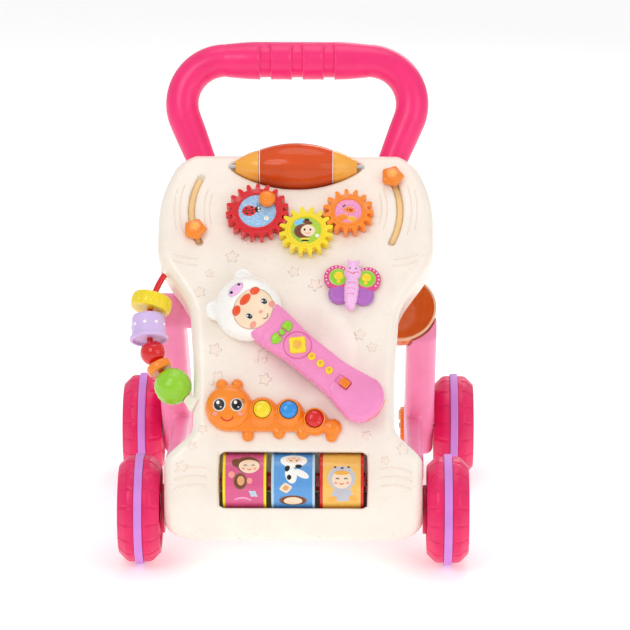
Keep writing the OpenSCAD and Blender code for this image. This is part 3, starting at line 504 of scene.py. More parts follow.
# ---- panel front ----
def roller_uv(y, z):
    f = at_face(*ROLLER_AT)
    dy, dz = y - f.o[1], z - f.o[2]
    return dy * f.m[1][1] + dz * f.m[1][2], dy * f.m[2][1] + dz * f.m[2][2]


def panel_front(x, s, h):
    grid = s.ravel()
    w = half_w(grid)
    slope = np.sqrt(1 + np.clip(np.gradient(w, grid), -1.2, 1.2) ** 2)
    w, slope = w.reshape(s.shape), slope.reshape(s.shape)
    edge = np.maximum((np.abs(x) - w) / slope, s - FACE_L)
    d = both(edge, h + 0 * x, 11)
    floor = SEAM + 12.5 * (1 - ease((s - 4) / 24))
    d = np.maximum(d, np.maximum(-h - floor, -84.6 - s))
    u, v = roller_uv(*face_yz(s, h))
    opening = np.maximum(both(np.abs(x) - 70, np.abs(u) - 27, 4), -v - 4)
    pocket = np.maximum(length(u, v) - 31.5, np.abs(x) - 71.5)
    d = smax(d, -opening, 3)
    d = np.maximum(d, -pocket)
    for side in (-1, 1):
        px, py = side * x - SLOT_AT[0], s - SLOT_AT[1]
        t = np.clip(np.arctan2(py, px), -math.radians(SLOT_SPAN), math.radians(SLOT_SPAN))
        slot = length(px - SLOT_R * np.cos(t), py - SLOT_R * np.sin(t)) - 3.6
        d = smax(d, -np.maximum(slot, -5 - h), 1.2)
    dish = length(x - 13.5, s - 142, h - 93.5) - 102.5
    d = smax(d, -dish, 5)
    lens = length(s - DRUM_S, h) - (np.sqrt(np.maximum(LENS_R ** 2 - x * x, 0)) - LENS_SINK + 2.4)
    lens = np.maximum(lens, np.abs(x) - 64.5)
    return smax(d, -lens, 3)


shell = Piece().add_net(panel_front, (-140, -87, -43), (140, 367, 3), 1.5, unroll, cream)


def emboss(mesh):
    shell.add(mesh, cream_line)


# Low relief on the face: stars, notes and flowers, and lines at the shoulders and the foot
STARS = [(-62, 240, 7), (-1, 224, 6), (20, 210, 7), (-77, 142, 7), (64, 157.5, 6), (-93, 202, 6),
         (-88, 62, 5), (71, 57, 5), (-108, 26, 6), (106, 44, 6)]
for i, (x, s, r) in enumerate(STARS):
    emboss(blob(x, s, r, r, unroll, turn=17 * i, thick=0.7, shape=star(), n=50))
FLOWERS = [(-28, 112, 7), (76, 145, 6), (-98, 46, 5), (89, 33, 5), (-84, 222, 5)]
for i, (x, s, r) in enumerate(FLOWERS):
    emboss(blob(x, s, r, r, unroll, turn=23 * i, thick=0.7, shape=petals(5, 0.4), n=60))
    emboss(blob(x, s, 1.6, 1.6, unroll, thick=1.2))
for x, s in ((-37, 130), (62, 214), (-50, 256), (-80, 108)):
    emboss(blob(x, s, 2.6, 2.0, unroll, turn=20, thick=0.7))
    emboss(blob(x + 8, s + 1.5, 2.6, 2.0, unroll, turn=20, thick=0.7))
    emboss(ribbon([(x + 2, s), (x + 2, s + 5), (x + 2, s + 10)], 1.2, unroll))
    emboss(ribbon([(x + 10, s + 1.5), (x + 10, s + 6), (x + 10, s + 11.5)], 1.2, unroll))
    emboss(ribbon([(x + 1.6, s + 10), (x + 6, s + 11), (x + 10.4, s + 12)], 2.0, unroll))
for side in (-1, 1):
    for k, s in enumerate((24, 15.5, 7)):
        t = np.linspace(0, 1, 18)
        emboss(ribbon(np.stack([side * (84 + 31 * t), s + 10 * t * (1 - t) - 3 * t], 1), 1.7, unroll, 0.8))
    for k, s in enumerate((238, 231)):
        t = np.linspace(0, 1, 14)
        emboss(ribbon(np.stack([side * (96 + 24 * t), s + 5 * t * t], 1), 1.6, unroll, 0.7))
    for rho, span in ((68, 15), (73.5, 19), (97.5, 17), (103, 13)):
        emboss(ribbon(arc(*SLOT_AT, rho, -span, span, 22) * [side, 1], 1.2, unroll, 0.55))
    slot_line = arc(*SLOT_AT, SLOT_R, -SLOT_SPAN, SLOT_SPAN, 30) * [side, 1]
    shell.add(ribbon(slot_line, 6.9, unroll, 1.6, base=-4.4), peach_slot)
# Rim round the roller window
for side in (-1, 1):
    emboss(ribbon(np.stack([np.full(14, side * 73.0), np.linspace(-13, 40, 14)], 1), 1.4, unroll, 0.6))
shell.make("panel_front_shell", BODY, "cream_plastic", ["front_shell"])


# ---- panel back ----
def panel_back(x, s, h):
    w = half_w(s.ravel()).reshape(s.shape) - 1.0
    edge = np.maximum(np.maximum(np.abs(x) - w, s - FACE_L + 0.8), 3 - s)
    d = both(edge, -h - DEPTH + 0 * x, 8)
    d = np.maximum(d, h + 22)
    return smax(d, -(length(x, s - 240, (h + DEPTH + 1) * 3) - 22), 1.5)


def belly_back(x, y, z):
    w = np.where(z < 54.8, 97 + np.sqrt(np.maximum(0, 900 - (54.8 - z) ** 2)), 127) - 2.4
    w = np.minimum(w, 127 - np.maximum(z - 90, 0))
    edge = np.maximum(np.abs(x) - w, BELLY_LOW + 0.3 - z)
    d = both(np.maximum(edge, z - BELLY_TOP), y - BELLY_BACK, 7)
    return np.maximum(d, -141 - y)


back = Piece().add_net(panel_back, (-140, 0, -53), (140, 367, -18), 1.6, unroll, cream)
back.add(surface_net(belly_back, (-130, -144, 22), (130, -88, 144), 1.8 * COARSE), cream)
for k in range(6):
    a = math.radians(60 * k)
    spot = at_face(9 * math.cos(a), 240 + 9 * math.sin(a), -DEPTH + 0.6)
    eyelet = fillet([(0, -0.6), (1.7, -0.6, 0.3), (1.9, 0.4, 0.2), (2.9, 0.4, 0.4), (3.1, -1.2), (0, -1.2)])
    back.add(lathe(eyelet, 24, Frame(spot.o, spot.m[0], -spot.m[1], -spot.m[2])), speaker_dark)


def on_back(p):
    return unroll(p * [1, 1, -1] + [0, 0, -DEPTH])


for side in (-1, 1):
    for k in range(4):
        line = np.stack([np.full(12, side * (46 + 9 * k)), np.linspace(196, 286, 12)], 1)
        back.add(ribbon(line, 1.8, on_back, 0.05, under=0.6), cream_line)
back.make("panel_back_shell", BODY, "cream_plastic", ["back_shell"])


# ---- legs ----
def link(y, z, p, pr, q, qr):
    (py, pz), (qy, qz) = p, q
    d = math.hypot(qy - py, qz - pz)
    uy, uz = (qy - py) / d, (qz - pz) / d
    t = (y - py) * uy + (z - pz) * uz
    n = np.abs((y - py) * -uz + (z - pz) * uy)
    b = (pr - qr) / d
    a = math.sqrt(1 - b * b)
    k = -b * n + a * t
    return np.where(k < 0, length(n, t) - pr, np.where(k > a * d, length(n, t - d) - qr, n * a + t * b - pr))


leg_top = unroll([[0, 209, -67]])[0][1:]
cup = at_face(0, 226, -89.7).o + [103, 0, 0]
CUP_R, CUP_INNER, CUP_SEAT = 37.9, 35.6, 38.6


def leg_field(side):
    def field(x, y, z):
        d = both(link(y, z, (AXLE_Y, AXLE_Z), 30, leg_top, 19), np.abs(x - 126) - 15, 8)
        strut = both(link(y, z, (AXLE_Y, AXLE_Z + 4), 20, (BELLY_BACK, 82), 15), np.abs(x - 119.25) - 8.25, 5)
        d = smin(d, strut, 3)
        boss = np.maximum(length(y - leg_top[0], z - leg_top[1]) - 16, np.maximum(78 - x, x - 116))
        d = smin(d, boss, 2)
        groove = np.abs(link(y, z, (AXLE_Y, AXLE_Z), 20, leg_top, 9.5)) - 0.8
        d = smax(d, -np.maximum(groove, 140.0 - x), 0.8)
        d = np.maximum(d, length(y - FACE_Y, z - FACE_Z) - 649.9)
        d = np.maximum(d, -np.maximum(y + 91.9, z - 140))
        if side > 0:
            d = smax(d, CUP_SEAT - length(x - cup[0], y - cup[1], z - cup[2]), 1.5)
            # The leg stays below the mouth of the cup, outside the panel's edge
            out, up = math.sqrt(0.5) * (cup[1] - y), math.sqrt(0.5) * (z - cup[2])
            mouth = np.maximum(np.maximum(out - up - CUP_SEAT, -out - up), 100 - x)
            d = smax(d, -mouth, 1.5)
        return d
    return field


for side, name in ((-1, "left"), (1, "right")):
    verts, faces = surface_net(leg_field(side), (76, -94, 22), (143, 168, 246), 1.7 * COARSE)
    if side < 0:
        verts, faces = verts * [-1, 1, 1], [faces[0][:, ::-1]]
    Piece().add((verts, faces), pink_leg).make("leg_" + name + "_tube", BODY, "leg_pink", ["leg_" + name])

# ---- handle ----
def hoop_path():
    bend, r, splay = np.array([72.0, 65.0]), 44.0, math.radians(22)
    start = bend + r * np.array([math.cos(splay), -math.sin(splay)])
    down = np.array([-math.sin(splay), -math.cos(splay)])
    side_l = (start[1] + 9) / math.cos(splay)
    pts, rad = [], []
    for t in np.linspace(1, 0.02, 16):
        pts.append(start + down * side_l * t)
        rad.append(14 + (16.3 - 14) * ease(1 - t))
    for a in np.radians(np.linspace(-22, 90, 30)):
        pts.append(bend + r * np.array([math.cos(a), math.sin(a)]))
        rad.append(16.45)
    for x in np.concatenate([np.linspace(70, 44, 12), np.linspace(43, 0, 86 if COARSE == 1 else 50)]):
        pts.append([x, 109])
        rad.append(16.45 + 2.45 * float(ease((80 - x) / 38)))
    pts, rad = np.array(pts), np.array(rad)
    mirror = pts[:-1][::-1] * [-1, 1]
    return np.vstack([pts, mirror]), np.concatenate([rad, rad[:-1][::-1]])


hoop = at_face(0, 363, -25)
lean = math.radians(20)
hoop = Frame(hoop.o, [1, 0, 0], [0, math.sin(lean), math.cos(lean)], [0, -math.cos(lean), math.sin(lean)])
flat, radii = hoop_path()
path = np.column_stack([flat, np.zeros(len(flat))])
xs = flat[:, 0]
on_grip = flat[:, 1] > 108.9


def grip_lobes(r, a):
    # Three finger grooves in the grip, open towards the user's fingers, and a swell between them
    out = np.broadcast_to(r, (len(r), a.shape[1])).copy()
    for x0 in (-32, 0, 32):
        reach = ease((0.86 - np.cos(a) - 0.004 * (xs[:, None] - x0) ** 2) / 0.14)
        t = np.clip((5.8 - np.abs(xs - x0)) / 1.0, 0, 1) * on_grip
        lip = np.exp(-((np.abs(xs - x0) - 6.6) / 0.8) ** 2) * on_grip
        out += (0.45 * lip - 2.1 * ease(t))[:, None] * reach
    return out


grip = sweep(path, radii, hoop, 40, (0, 0, 1), grip_lobes)
Piece().add(grip, pink_handle).make("push_handle", BODY, "handle_pink", ["handle"])


# ---- wheels ----
def wheel_profile():
    half, r = 20.5, 52.0
    tread = [(38.5, half - 0.2, 2.5), (r - 9, half, 2), (r, half - 9, 8), (r, 4.2, 0.5), (49.4, 4.15, 0.3),
             (49.4, -4.15, 0.3), (r, -4.2, 0.5), (r, 9 - half, 8), (r - 9, -half, 2), (38.5, 0.2 - half, 2.5)]
    outside = [(3.2, 15.8), (7.4, 15.8, 0.6), (7.6, 19.4, 0.6), (13.5, 19.4, 2), (15.5, 14.6, 2),
               (35, 14.6, 2.5)]
    inside = [(35, -14.6, 2.5), (15.5, -14.6, 2), (13.5, -19.4, 2), (7.6, -19.4, 0.6), (3.2, -19.4)]
    return fillet(outside + tread + inside)


def wheel_bend(a, r, z):
    # Six spokes in the dish, and shallow notches over the shoulders
    spoke = ease((np.cos(6 * a) - 0.35) / 0.5) * ease((r - 13) / 3) * ease((38 - r) / 3)
    z = z + np.sign(z) * spoke * 3.2
    shoulder = ease((r - 43) / 4) * ease((np.abs(z) - 6.5) / 2)
    notch = ease((np.cos(18 * a) - 0.93) / 0.05) * shoulder
    return r - 1.0 * notch, z - np.sign(z) * 0.5 * notch


BAND = fillet([(49.5, 3.9), (53.7, 3.95, 0.5), (54.45, 3.0, 0.6), (54.45, -3.0, 0.6), (53.7, -3.95, 0.5),
               (49.5, -3.9), (49.5, 3.9)])
WHEEL_W, TYRE_TURNS = 41, 216 if COARSE == 1 else 108
for end, y, track in (("front", -AXLE_Y, 342), ("rear", AXLE_Y, 366)):
    for side, name in ((-1, "left"), (1, "right")):
        tag = end + "_" + name
        spot = x_axis(side * (track - WHEEL_W) / 2, y, AXLE_Z, side)
        tyre = Piece().add(lathe(wheel_profile(), TYRE_TURNS, spot, wheel_bend), pink_wheel)
        tyre.make("wheel_" + tag + "_tyre", "wheel_" + tag, "wheel_pink", ["wheel_" + tag], 50)
        band = Piece().add(lathe(BAND[:-1], 120, spot, closed=True), lilac_band)
        band.make("wheel_" + tag + "_band", "wheel_" + tag, "band_lilac", ["band_" + tag], 50)

# ---- drum ----
drum = at_face(0, DRUM_S)
drum = Frame(drum.o, drum.m[1], drum.m[2], drum.m[0])


def lens_r(x):
    """Radius of the drum's barrel shape at x along its axle."""
    return np.sqrt(LENS_R ** 2 - np.asarray(x, float) ** 2) - LENS_SINK


xs_b = np.linspace(-37.4, 37.4, 40)
outer = np.column_stack([lens_r(xs_b) - 0.05, xs_b])
inner = np.column_stack([lens_r(xs_b[::-1]) - 1.8, xs_b[::-1]])
barrel = Piece().add(lathe(np.vstack([outer, inner]), 96, drum, closed=True), clear_red)
for side in (-1, 1):
    x0 = side * 36.4
    r = lens_r(x0)
    ring = fillet([(r - 2.2, x0 - 0.8), (r - 2.2, x0 + 0.8), (r, x0 + 0.7, 0.4), (r, x0 - 0.7, 0.4),
                   (r - 2.2, x0 - 0.8)])
    barrel.add(lathe(ring[:-1], 96, drum, closed=True), white)
barrel.make("drum_clear_barrel", "drum", "drum_clear_red", ["drum_barrel"], 40)
caps = Piece()
for side in (-1, 1):
    xs_c = np.linspace(37.6, 60.6, 18)
    blunt = [(lens_r(x) - 0.05 + 1.7 * math.sin(math.pi * min(1, (x - 37.6) / 34)), x) for x in xs_c[1:-3]]
    prof = fillet([(0, 37.6), (lens_r(37.6) - 0.2, 37.6, 0.3)] + blunt + [(6.4, 60.8, 3.5), (0, 60.8)])
    caps.add(lathe(prof * [1, side], 64, drum), amber)
caps.make("drum_end_caps", "drum", "drum_orange", ["drum_caps"], 40)
rng = np.random.default_rng(7)
beads = Piece()
bead_shape = fillet([(0.5, 1.8), (1.4, 1.9, 0.7), (2.1, 0.9, 0.8), (2.1, -0.9, 0.8), (1.4, -1.9, 0.7),
                     (0.5, -1.8)])
made = 0
while made < 120:
    x, u, v = rng.uniform(-33.5, 33.5), rng.uniform(-1, 1), rng.uniform(-1, -0.36)
    room = float(lens_r(x)) - 4.3
    if math.hypot(u, v) > 1 or room * math.hypot(u, v) < 4.5:
        continue
    made += 1
    # u is towards the front, v is up
    a = FOOT + DRUM_S / FACE_R
    ca, sa = math.cos(a), math.sin(a)
    spot = drum.moved(room * (v * ca - u * sa), room * (v * sa + u * ca), x)
    tilt = rng.normal(size=3)
    tilt /= np.linalg.norm(tilt)
    side_v = np.cross(tilt, [0.3, 0.5, 0.8])
    side_v /= np.linalg.norm(side_v)
    spot = Frame(spot.o, side_v, np.cross(tilt, side_v), tilt)
    beads.add(lathe(bead_shape, 10, spot), (yellow, yellow, bead_blue, rose_card, green, white)[made % 6])
beads.make("drum_rattle_beads", "drum", "bead_mix", ["drum_beads"])

# ---- gears: the CAD gears with softened edges, printed discs and moulded caps ----
GEAR_S = 275
GEARS = {"gear_red": (-37.74, 11.27), "gear_yellow": (10.7, -10.3), "gear_orange": (52.24, 11.6)}


def soften(node, width, mat):
    """Keeps a CAD node, with its edges rounded by width."""
    ob = nodes[node]
    ob.data.materials.clear()
    ob.data.materials.append(mat)
    weld = ob.modifiers.new("weld", "WELD")
    weld.merge_threshold = 0.00001
    bevel = ob.modifiers.new("soft_edges", "BEVEL")
    bevel.width, bevel.segments, bevel.limit_method = width * 0.001, 3, "ANGLE"
    bevel.angle_limit = math.radians(32)
    bevel.harden_normals = False
    ob.data.polygons.foreach_set("use_smooth", np.ones(len(ob.data.polygons), bool))
    ob.modifiers.new("normals", "WEIGHTED_NORMAL")


for node, mat, width, slot in (
        ("gear_red", gear_red, 0.7, "gear_red"), ("gear_yellow", yellow, 0.7, "toy_yellow"),
        ("gear_orange", orange, 0.7, "toy_orange"), ("front_bushes", pink_wheel, 0.8, "wheel_pink"),
        ("screws", steel, 0.2, "steel"), ("drum_axle", steel, 0.3, "steel"),
        ("pivot_pins", steel, 0.3, "steel"), ("axles", steel, 0.4, "steel"),
        ("roller_axle", red, 0.3, "toy_red"), ("batteries", battery, 0.6, "battery"),
        ("circuit_board", board, 0.2, "board_green"), ("speaker", speaker_dark, 0.5, "speaker_dark"),
        ("battery_door", cream, 0.7, "cream_plastic"), ("power_switch", orange, 0.5, "toy_orange")):
    soften(node, width, mat)


def gear_frame(name, h=0.0):
    x, y = GEARS[name]
    return at_face(0, GEAR_S, 0.8).moved(x, y, 9 + h)


def printed_disc(name, r, card, rim, extra):
    """A raised ring and a printed card in a gear's middle. extra draws on the card."""
    place = gear_frame(name)
    p = Piece()
    ring = fillet([(r + 3.2, -1.2), (r + 2.6, 0.9, 0.8), (r + 0.3, 0.9, 0.8), (r - 0.2, -1.0),
                   (r + 3.2, -1.2)])
    p.add(lathe(ring[:-1], 72, place, closed=True), rim)
    p.add(lathe(fillet([(0, -0.4), (r, -0.5, 0.2), (r, -1.5), (0, -1.5)]), 72, place), card)
    extra(p, place)
    return p


def ladybird(p, f):
    p.add(blob(-8, 0.5, 7.2, 6.2, f, 10, 0.35, -0.4), red)
    p.add(ribbon([(-15, -0.5), (-8, 0.5), (-1.5, 1.8)], 0.9, f, 0.3, -0.02), black)
    for x, y in ((-11, 3.2), (-5.5, 4.2), (-10, -2.8), (-5, -2.2)):
        p.add(blob(x, y, 1.3, 1.2, f, 0, 0.3, -0.05), black)
    p.add(blob(0.2, 2.0, 3.2, 3.4, f, 0, 0.35, -0.4), black)
    for x, y in ((1.2, 3.6), (1.6, 0.6)):
        p.add(blob(x, y, 1.1, 1.1, f, 0, 0.3, -0.05), white)
    for dx in (-1.2, 1.4):
        p.add(ribbon([(0.5 + dx * 0.3, 5), (1 + dx, 7.5), (2 + 2 * dx, 9)], 0.6, f, 0.3, -0.4), black)
    p.add(blob(9, -8, 3.2, 3.2, f, 0, 0.3, -0.4, shape=petals(5, 0.4)), white)
    p.add(blob(9, -8, 1.0, 1.0, f, 0, 0.3, -0.2), yellow)


def bee(p, f):
    p.add(blob(-8, 9, 4.0, 3.0, f, 30, 0.3, -0.4), bead_blue)
    p.add(blob(-4, 10.5, 3.2, 2.4, f, -30, 0.3, -0.4), bead_blue)
    p.add(blob(-3, -1, 9.2, 8.4, f, 0, 0.3, -0.4), brown)
    p.add(blob(1.5, -0.5, 7.4, 6.6, f, 0, 0.3, -0.2), skin)
    for x in (-1.5, 4.2):
        p.add(blob(x, 0.5, 1.1, 1.4, f, 0, 0.3, 0.0), black)
    p.add(ribbon(arc(1.5, -1.6, 2.3, 200, 340, 9), 0.6, f, 0.3, 0.0), red)
    p.add(blob(1, 9, 5.4, 2.2, f, -12, 0.35, -0.3), brown)
    p.add(blob(0.5, 11.6, 2.6, 1.8, f, 0, 0.35, -0.3), black)
    for k, w in ((-9.6, 4.8), (-11.6, 3.9), (-13.3, 2.6)):
        p.add(blob(-1, k, w, 1.3, f, 0, 0.3, -0.3 + 0.02 * k), black if k == -11.6 else yellow)
    p.add(blob(11, -6, 2.6, 2.6, f, 0, 0.3, -0.4, shape=petals(5, 0.4)), white)


def snail(p, f):
    p.add(blob(1, 1.5, 5.6, 3.8, f, -10, 0.35, -0.4), orange)
    p.add(blob(1.4, 1.6, 3.2, 2.6, f, 0, 0.35, -0.15), red)
    p.add(ribbon(arc(1.4, 1.6, 1.7, 0, 300, 12), 0.5, f, 0.3, 0.15), yellow)
    for x, y in ((-5, 5.5), (-3.5, 6.6)):
        p.add(blob(x, y, 0.8, 0.9, f, 0, 0.3, -0.3), black)
    p.add(blob(-6, -7, 6, 4, f, 20, 0.4, -0.4), orange)
    p.add(blob(4, -9, 5, 3.6, f, -20, 0.4, -0.4), amber)


for name, r, card, rim, slot, draw in (("gear_red", 18.6, sky_card, gear_red, "gear_red", ladybird),
                                       ("gear_yellow", 15.6, lime_card, yellow, "toy_yellow", bee),
                                       ("gear_orange", 13.6, rose_card, orange, "toy_orange", snail)):
    printed_disc(name, r, card, rim, draw).make(name + "_face", name, slot, sharp=45)
crank = gear_frame("gear_red", 0.3).moved(9.5, 11.5)
knob = fillet([(2.7, 0), (7.6, 0, 0.8), (8.4, 2.4, 2), (8.2, 6.4, 2), (5, 9.6, 3), (0, 9.9)])
crank_cap = Piece().add(lathe(knob, 48, crank), orange)
crank_cap.add(lathe(fillet([(0, 9.95), (3.6, 9.5, 1), (5.4, 8.6)]), 40, crank), amber)
crank_cap.make("crank_knob_cap", "crank_knob", "toy_orange", ["crank_knob"], 50)

# ---- sliders ----
def flower(angle, r, z):
    lobe = 1 - 0.17 * np.abs(np.sin(2.5 * angle)) * ease((r - 6.2) / 3)
    return r * lobe, z


SLIDER = fillet([(3.0, -7.2), (5.6, -7.2, 0.3), (5.7, -5.4, 0.3), (3.0, -5.2), (3.0, 0.4), (9.2, 0.4, 1.6),
                 (12.0, 3.2, 3), (11.6, 7.2, 3), (7.8, 8.8, 2), (6.6, 11.4, 2.5), (0, 12.2)])
for side, rest, name in ((-1, -18.2, "left"), (1, 24.5, "right")):
    a = math.radians(rest)
    spot = at_face(side * SLOT_AT[0], SLOT_AT[1]).moved(side * SLOT_R * math.cos(a), SLOT_R * math.sin(a))
    slider = Piece().add(lathe(SLIDER, 90, spot, flower), orange)
    slider.add(blob(0, 0, 5.4, 5.4, spot, 0, 0.8, 11.4, 1.2, shape=petals(5, 0.3)), amber)
    slider.make("slider_" + name + "_flower", "slider_" + name, "toy_orange", ["slider_" + name], 60)

# ---- butterfly ----
fly = at_face(56, 207, 0.8).turned(-4)
wings = Piece()


def rounded_disc(r, h, edge=1.2):
    return fillet([(0, 0), (r, 0, 0.4), (r, h, edge), (0, h)])


for side in (-1, 1):
    upper, lower = fly.moved(side * 15, 8), fly.moved(side * 12, -9)
    wings.add(lathe(rounded_disc(12.9, 5), 60, upper), wing_pink)
    wings.add(lathe(rounded_disc(10.4, 4.9), 60, lower), wing_purple)
    wings.add(blob(side * 14, 8, 9, 9, fly, 0, 0.5, 5.0), green)
    wings.add(blob(side * 13.6, 9.2, 5, 4.6, fly, 0, 0.9, 5.3), yellow)
    wings.add(blob(side * 13.2, 3.2, 2.2, 1.9, fly, 0, 0.7, 5.3), yellow)
    wings.add(blob(side * 12, -9, 8.2, 8.0, fly, 0, 0.4, 4.8), wing_purple)
    for k in range(13):
        a = math.radians(-40 + 20 * k)
        x, y = side * (15 + 10.9 * math.cos(a)), 8 + 10.9 * math.sin(a)
        wings.add(blob(x, y, 0.75, 0.75, fly, 0, 0.4, 5.0, n=14, rings=3), white)
wings.add(lathe(rounded_disc(9, 4.6), 48, fly), wing_purple)
wings.make("butterfly_wing_pair", "butterfly", "wing_purple", ["butterfly_wings"], 50)


def fly_field(x, y, z):
    def ball(cy, r, h):
        return (length(x / r, (y - cy) / r, (z - 5.2) / h) - 1) * min(r, h)
    d = smin(ball(13, 8.8, 7.8), ball(20, 5.6, 5.8), 1.5)
    for cy, r, h in ((3, 6.6, 6.2), (-3, 7.4, 6.4), (-9, 7.2, 6.2), (-15, 6.6, 5.6)):
        d = smin(d, ball(cy, r, h), 1.2)
    d = smin(d, ball(-21, 5.4, 4.9), 1)
    for side in (-1, 1):
        t = np.clip((y - 19) / 6, 0, 1)
        d = smin(d, length(x - side * (1.5 + 3 * t), y - 19 - 6 * t, z - 7.5) - 1.5, 0.6)
        d = smin(d, length(x - side * 4.6, y - 24.3, z - 7.5) - 1.9, 0.6)
    return np.maximum(d, 3.6 - z)


fly_piece = Piece().add_net(fly_field, (-11, -28, 2), (11, 28, 15), 0.7, fly, pale_pink)


def fly_top(x, y):
    return 5.2 + 7.8 * np.sqrt(np.maximum(0.05, 1 - (x / 8.8) ** 2 - ((y - 13) / 8.8) ** 2))


for side in (-1, 1):
    fly_piece.add(blob(side * 2.9, 15.2, 0.75, 0.95, fly, 0, 0.3, 0, top=fly_top, n=16, rings=3), black)
    fly_piece.add(blob(side * 5.0, 11.6, 1.2, 0.9, fly, 0, 0.2, 0, top=fly_top, n=16, rings=3), blush)
fly_piece.add(ribbon(arc(0, 13.2, 3.4, 205, 335, 11), 0.7, fly, 0.3, top=fly_top), red)
for cy in (0, -6, -12):
    fly_piece.add(ribbon(arc(0, cy - 6, 7, 60, 120, 9), 0.5, fly, 0.25, base=11.2), wing_pink)
fly_piece.make("butterfly_soft_body", "butterfly", "pale_pink", ["butterfly_body"])

# ---- inchworm ----
worm = at_face(0, 80, 0.1)
BUTTONS = [(-30.2, 0.6, yellow, "yellow"), (-4.5, 0.2, blue, "blue"), (20.4, -8.5, red, "red")]


def worm_field(x, y, z):
    def pebble(cx, cy, r, h):
        rho = length(x - cx, y - cy)
        return both(rho - r, z - h + 0.45 * h * np.minimum(rho / r, 1) ** 2.5, 0.42 * h)
    d = pebble(-62.7, 3, 23, 14.9)
    for cx in (-70, -55):
        d = smin(d, pebble(cx, 26, 6, 8.9), 1.5)
    for i, (bx, by, _, _) in enumerate(BUTTONS):
        d = smin(d, pebble(bx, by - 2, 15.5 - i, 11.2 - 0.3 * i), 1.2)
    d = smin(d, pebble(38, -16, 9, 7.9), 2)
    for cx in (-44, -14, 9, 37):
        d = smin(d, pebble(cx, -20.7 - abs(cx + 5) / 12, 6, 6.4), 1)
    bar = both(np.maximum(np.abs(x + 13) - 43, np.abs(y + 13.5) - 6.5), z - 5.5, 1.5)
    d = smin(d, bar, 1.5)
    for bx, by, _, _ in BUTTONS:
        d = smax(d, -np.maximum(length(x - bx, y - by) - 8.9, -1 - z), 0.8)
    return np.maximum(d, 0.0 - z)


worm_piece = Piece().add_net(worm_field, (-88, -34, -1), (50, 36, 17), 0.9, worm, orange)


def worm_top(x, y):
    rho = length(x + 62.7, y - 3) / 23
    return 14.9 - 0.45 * 14.9 * np.minimum(rho, 1) ** 2.5


def worm_mark(x, y, rx, ry, mat, thick, base=0, **more):
    worm_piece.add(blob(x, y, rx, ry, worm, 0, thick, base, top=worm_top, **more), mat)


for x in (-71.8, -54.8):
    worm_mark(x, 4, 6.4, 6.6, white, 0.25)
    worm_mark(x, 4, 5.2, 5.6, black, 0.4, 0.2)
    worm_mark(x - 1.2, 6.2, 1.7, 1.9, white, 0.35, 0.65, n=20, rings=3)
    worm_mark(x + 1.6, 1.6, 0.8, 0.8, white, 0.35, 0.6, n=14, rings=3)
for k in range(3):
    lash = [(-50.5 + k * 0.6, 8.5 - 1.6 * k), (-48.8 + 0.5 * k, 9.6 - 1.6 * k),
            (-47.4 + 0.4 * k, 10.4 - 1.8 * k)]
    worm_piece.add(ribbon(lash, 0.6, worm, 0.3, top=worm_top), black)
worm_piece.add(ribbon(arc(-64, -5.2, 6.4, 200, 340, 15), 1.3, worm, 0.35, top=worm_top), red)
for x in (-76, -51.5):
    worm_mark(x, -4.5, 2.8, 2.0, blush, 0.2, n=20, rings=3)
for bx, by, _, _ in BUTTONS:
    ring = fillet([(8.9, 7.2), (9.0, 9.9, 0.5), (10.3, 10.2, 0.8), (11.2, 7.4), (8.9, 7.2)])
    worm_piece.add(lathe(ring[:-1], 56, worm.moved(bx, by), closed=True), orange)
worm_piece.make("inchworm_soft_body", BODY, "toy_orange", ["inchworm_body"])
for bx, by, mat, name in BUTTONS:
    spot = worm.moved(bx, by, 2.5)
    dome = fillet([(0, 0), (8.3, 0, 0.3), (8.45, 7.8, 1.2), (7.2, 9.6, 2), (4.5, 11.2, 3), (0, 11.9)])
    node = "button_" + name
    Piece().add(lathe(dome, 56, spot), mat).make(node + "_dome", node, "toy_" + name, [node])

# ---- picture rollers ----
axle = at_face(*ROLLER_AT)
PITCH, CARD_R = 47.0, 28.62


def on_roller(x0, r):
    """Maps (x, height round the drum, lift) to the roller's surface."""
    def place(p):
        p = np.asarray(p, float)
        a = p[:, 1] / r
        rr = r + p[:, 2]
        return axle(np.stack([x0 + p[:, 0], rr * np.sin(a), rr * np.cos(a)], 1))
    return place


def roller(k, rim, card, name, slot, draw):
    x0 = (k - 1) * PITCH
    spin = Frame(axle([x0, 0, 0]), axle.m[1], axle.m[2], axle.m[0])
    p = Piece()
    for end in (1, -1):
        hub = fillet([(3.1, end * 16.4), (7.8, end * 16.4, 0.4), (7.8, end * 21.1, 0.4), (3.1, end * 21.1)])
        p.add(lathe(hub, 40, spin), rim)
    half = [(3.1, 16.3), (25.6, 16.3, 0.6), (26, 21.1, 0.5), (28.9, 21.1, 0.6), (28.9, 18.8, 0.3),
            (28.3, 18.6, 0.1)]
    prof = fillet(half + [(r, -z, *more) for r, z, *more in half[::-1]])
    p.add(lathe(prof, 96, spin), rim)
    label = [(28.2, 18.3), (CARD_R, 18.3), (CARD_R, -18.3), (28.2, -18.3)]
    p.add(lathe(label, 96, spin, closed=True), card)
    draw(p, on_roller(x0, CARD_R))
    p.make("roller_" + name + "_drum", "roller_" + name, slot, ["roller_" + name], 40)


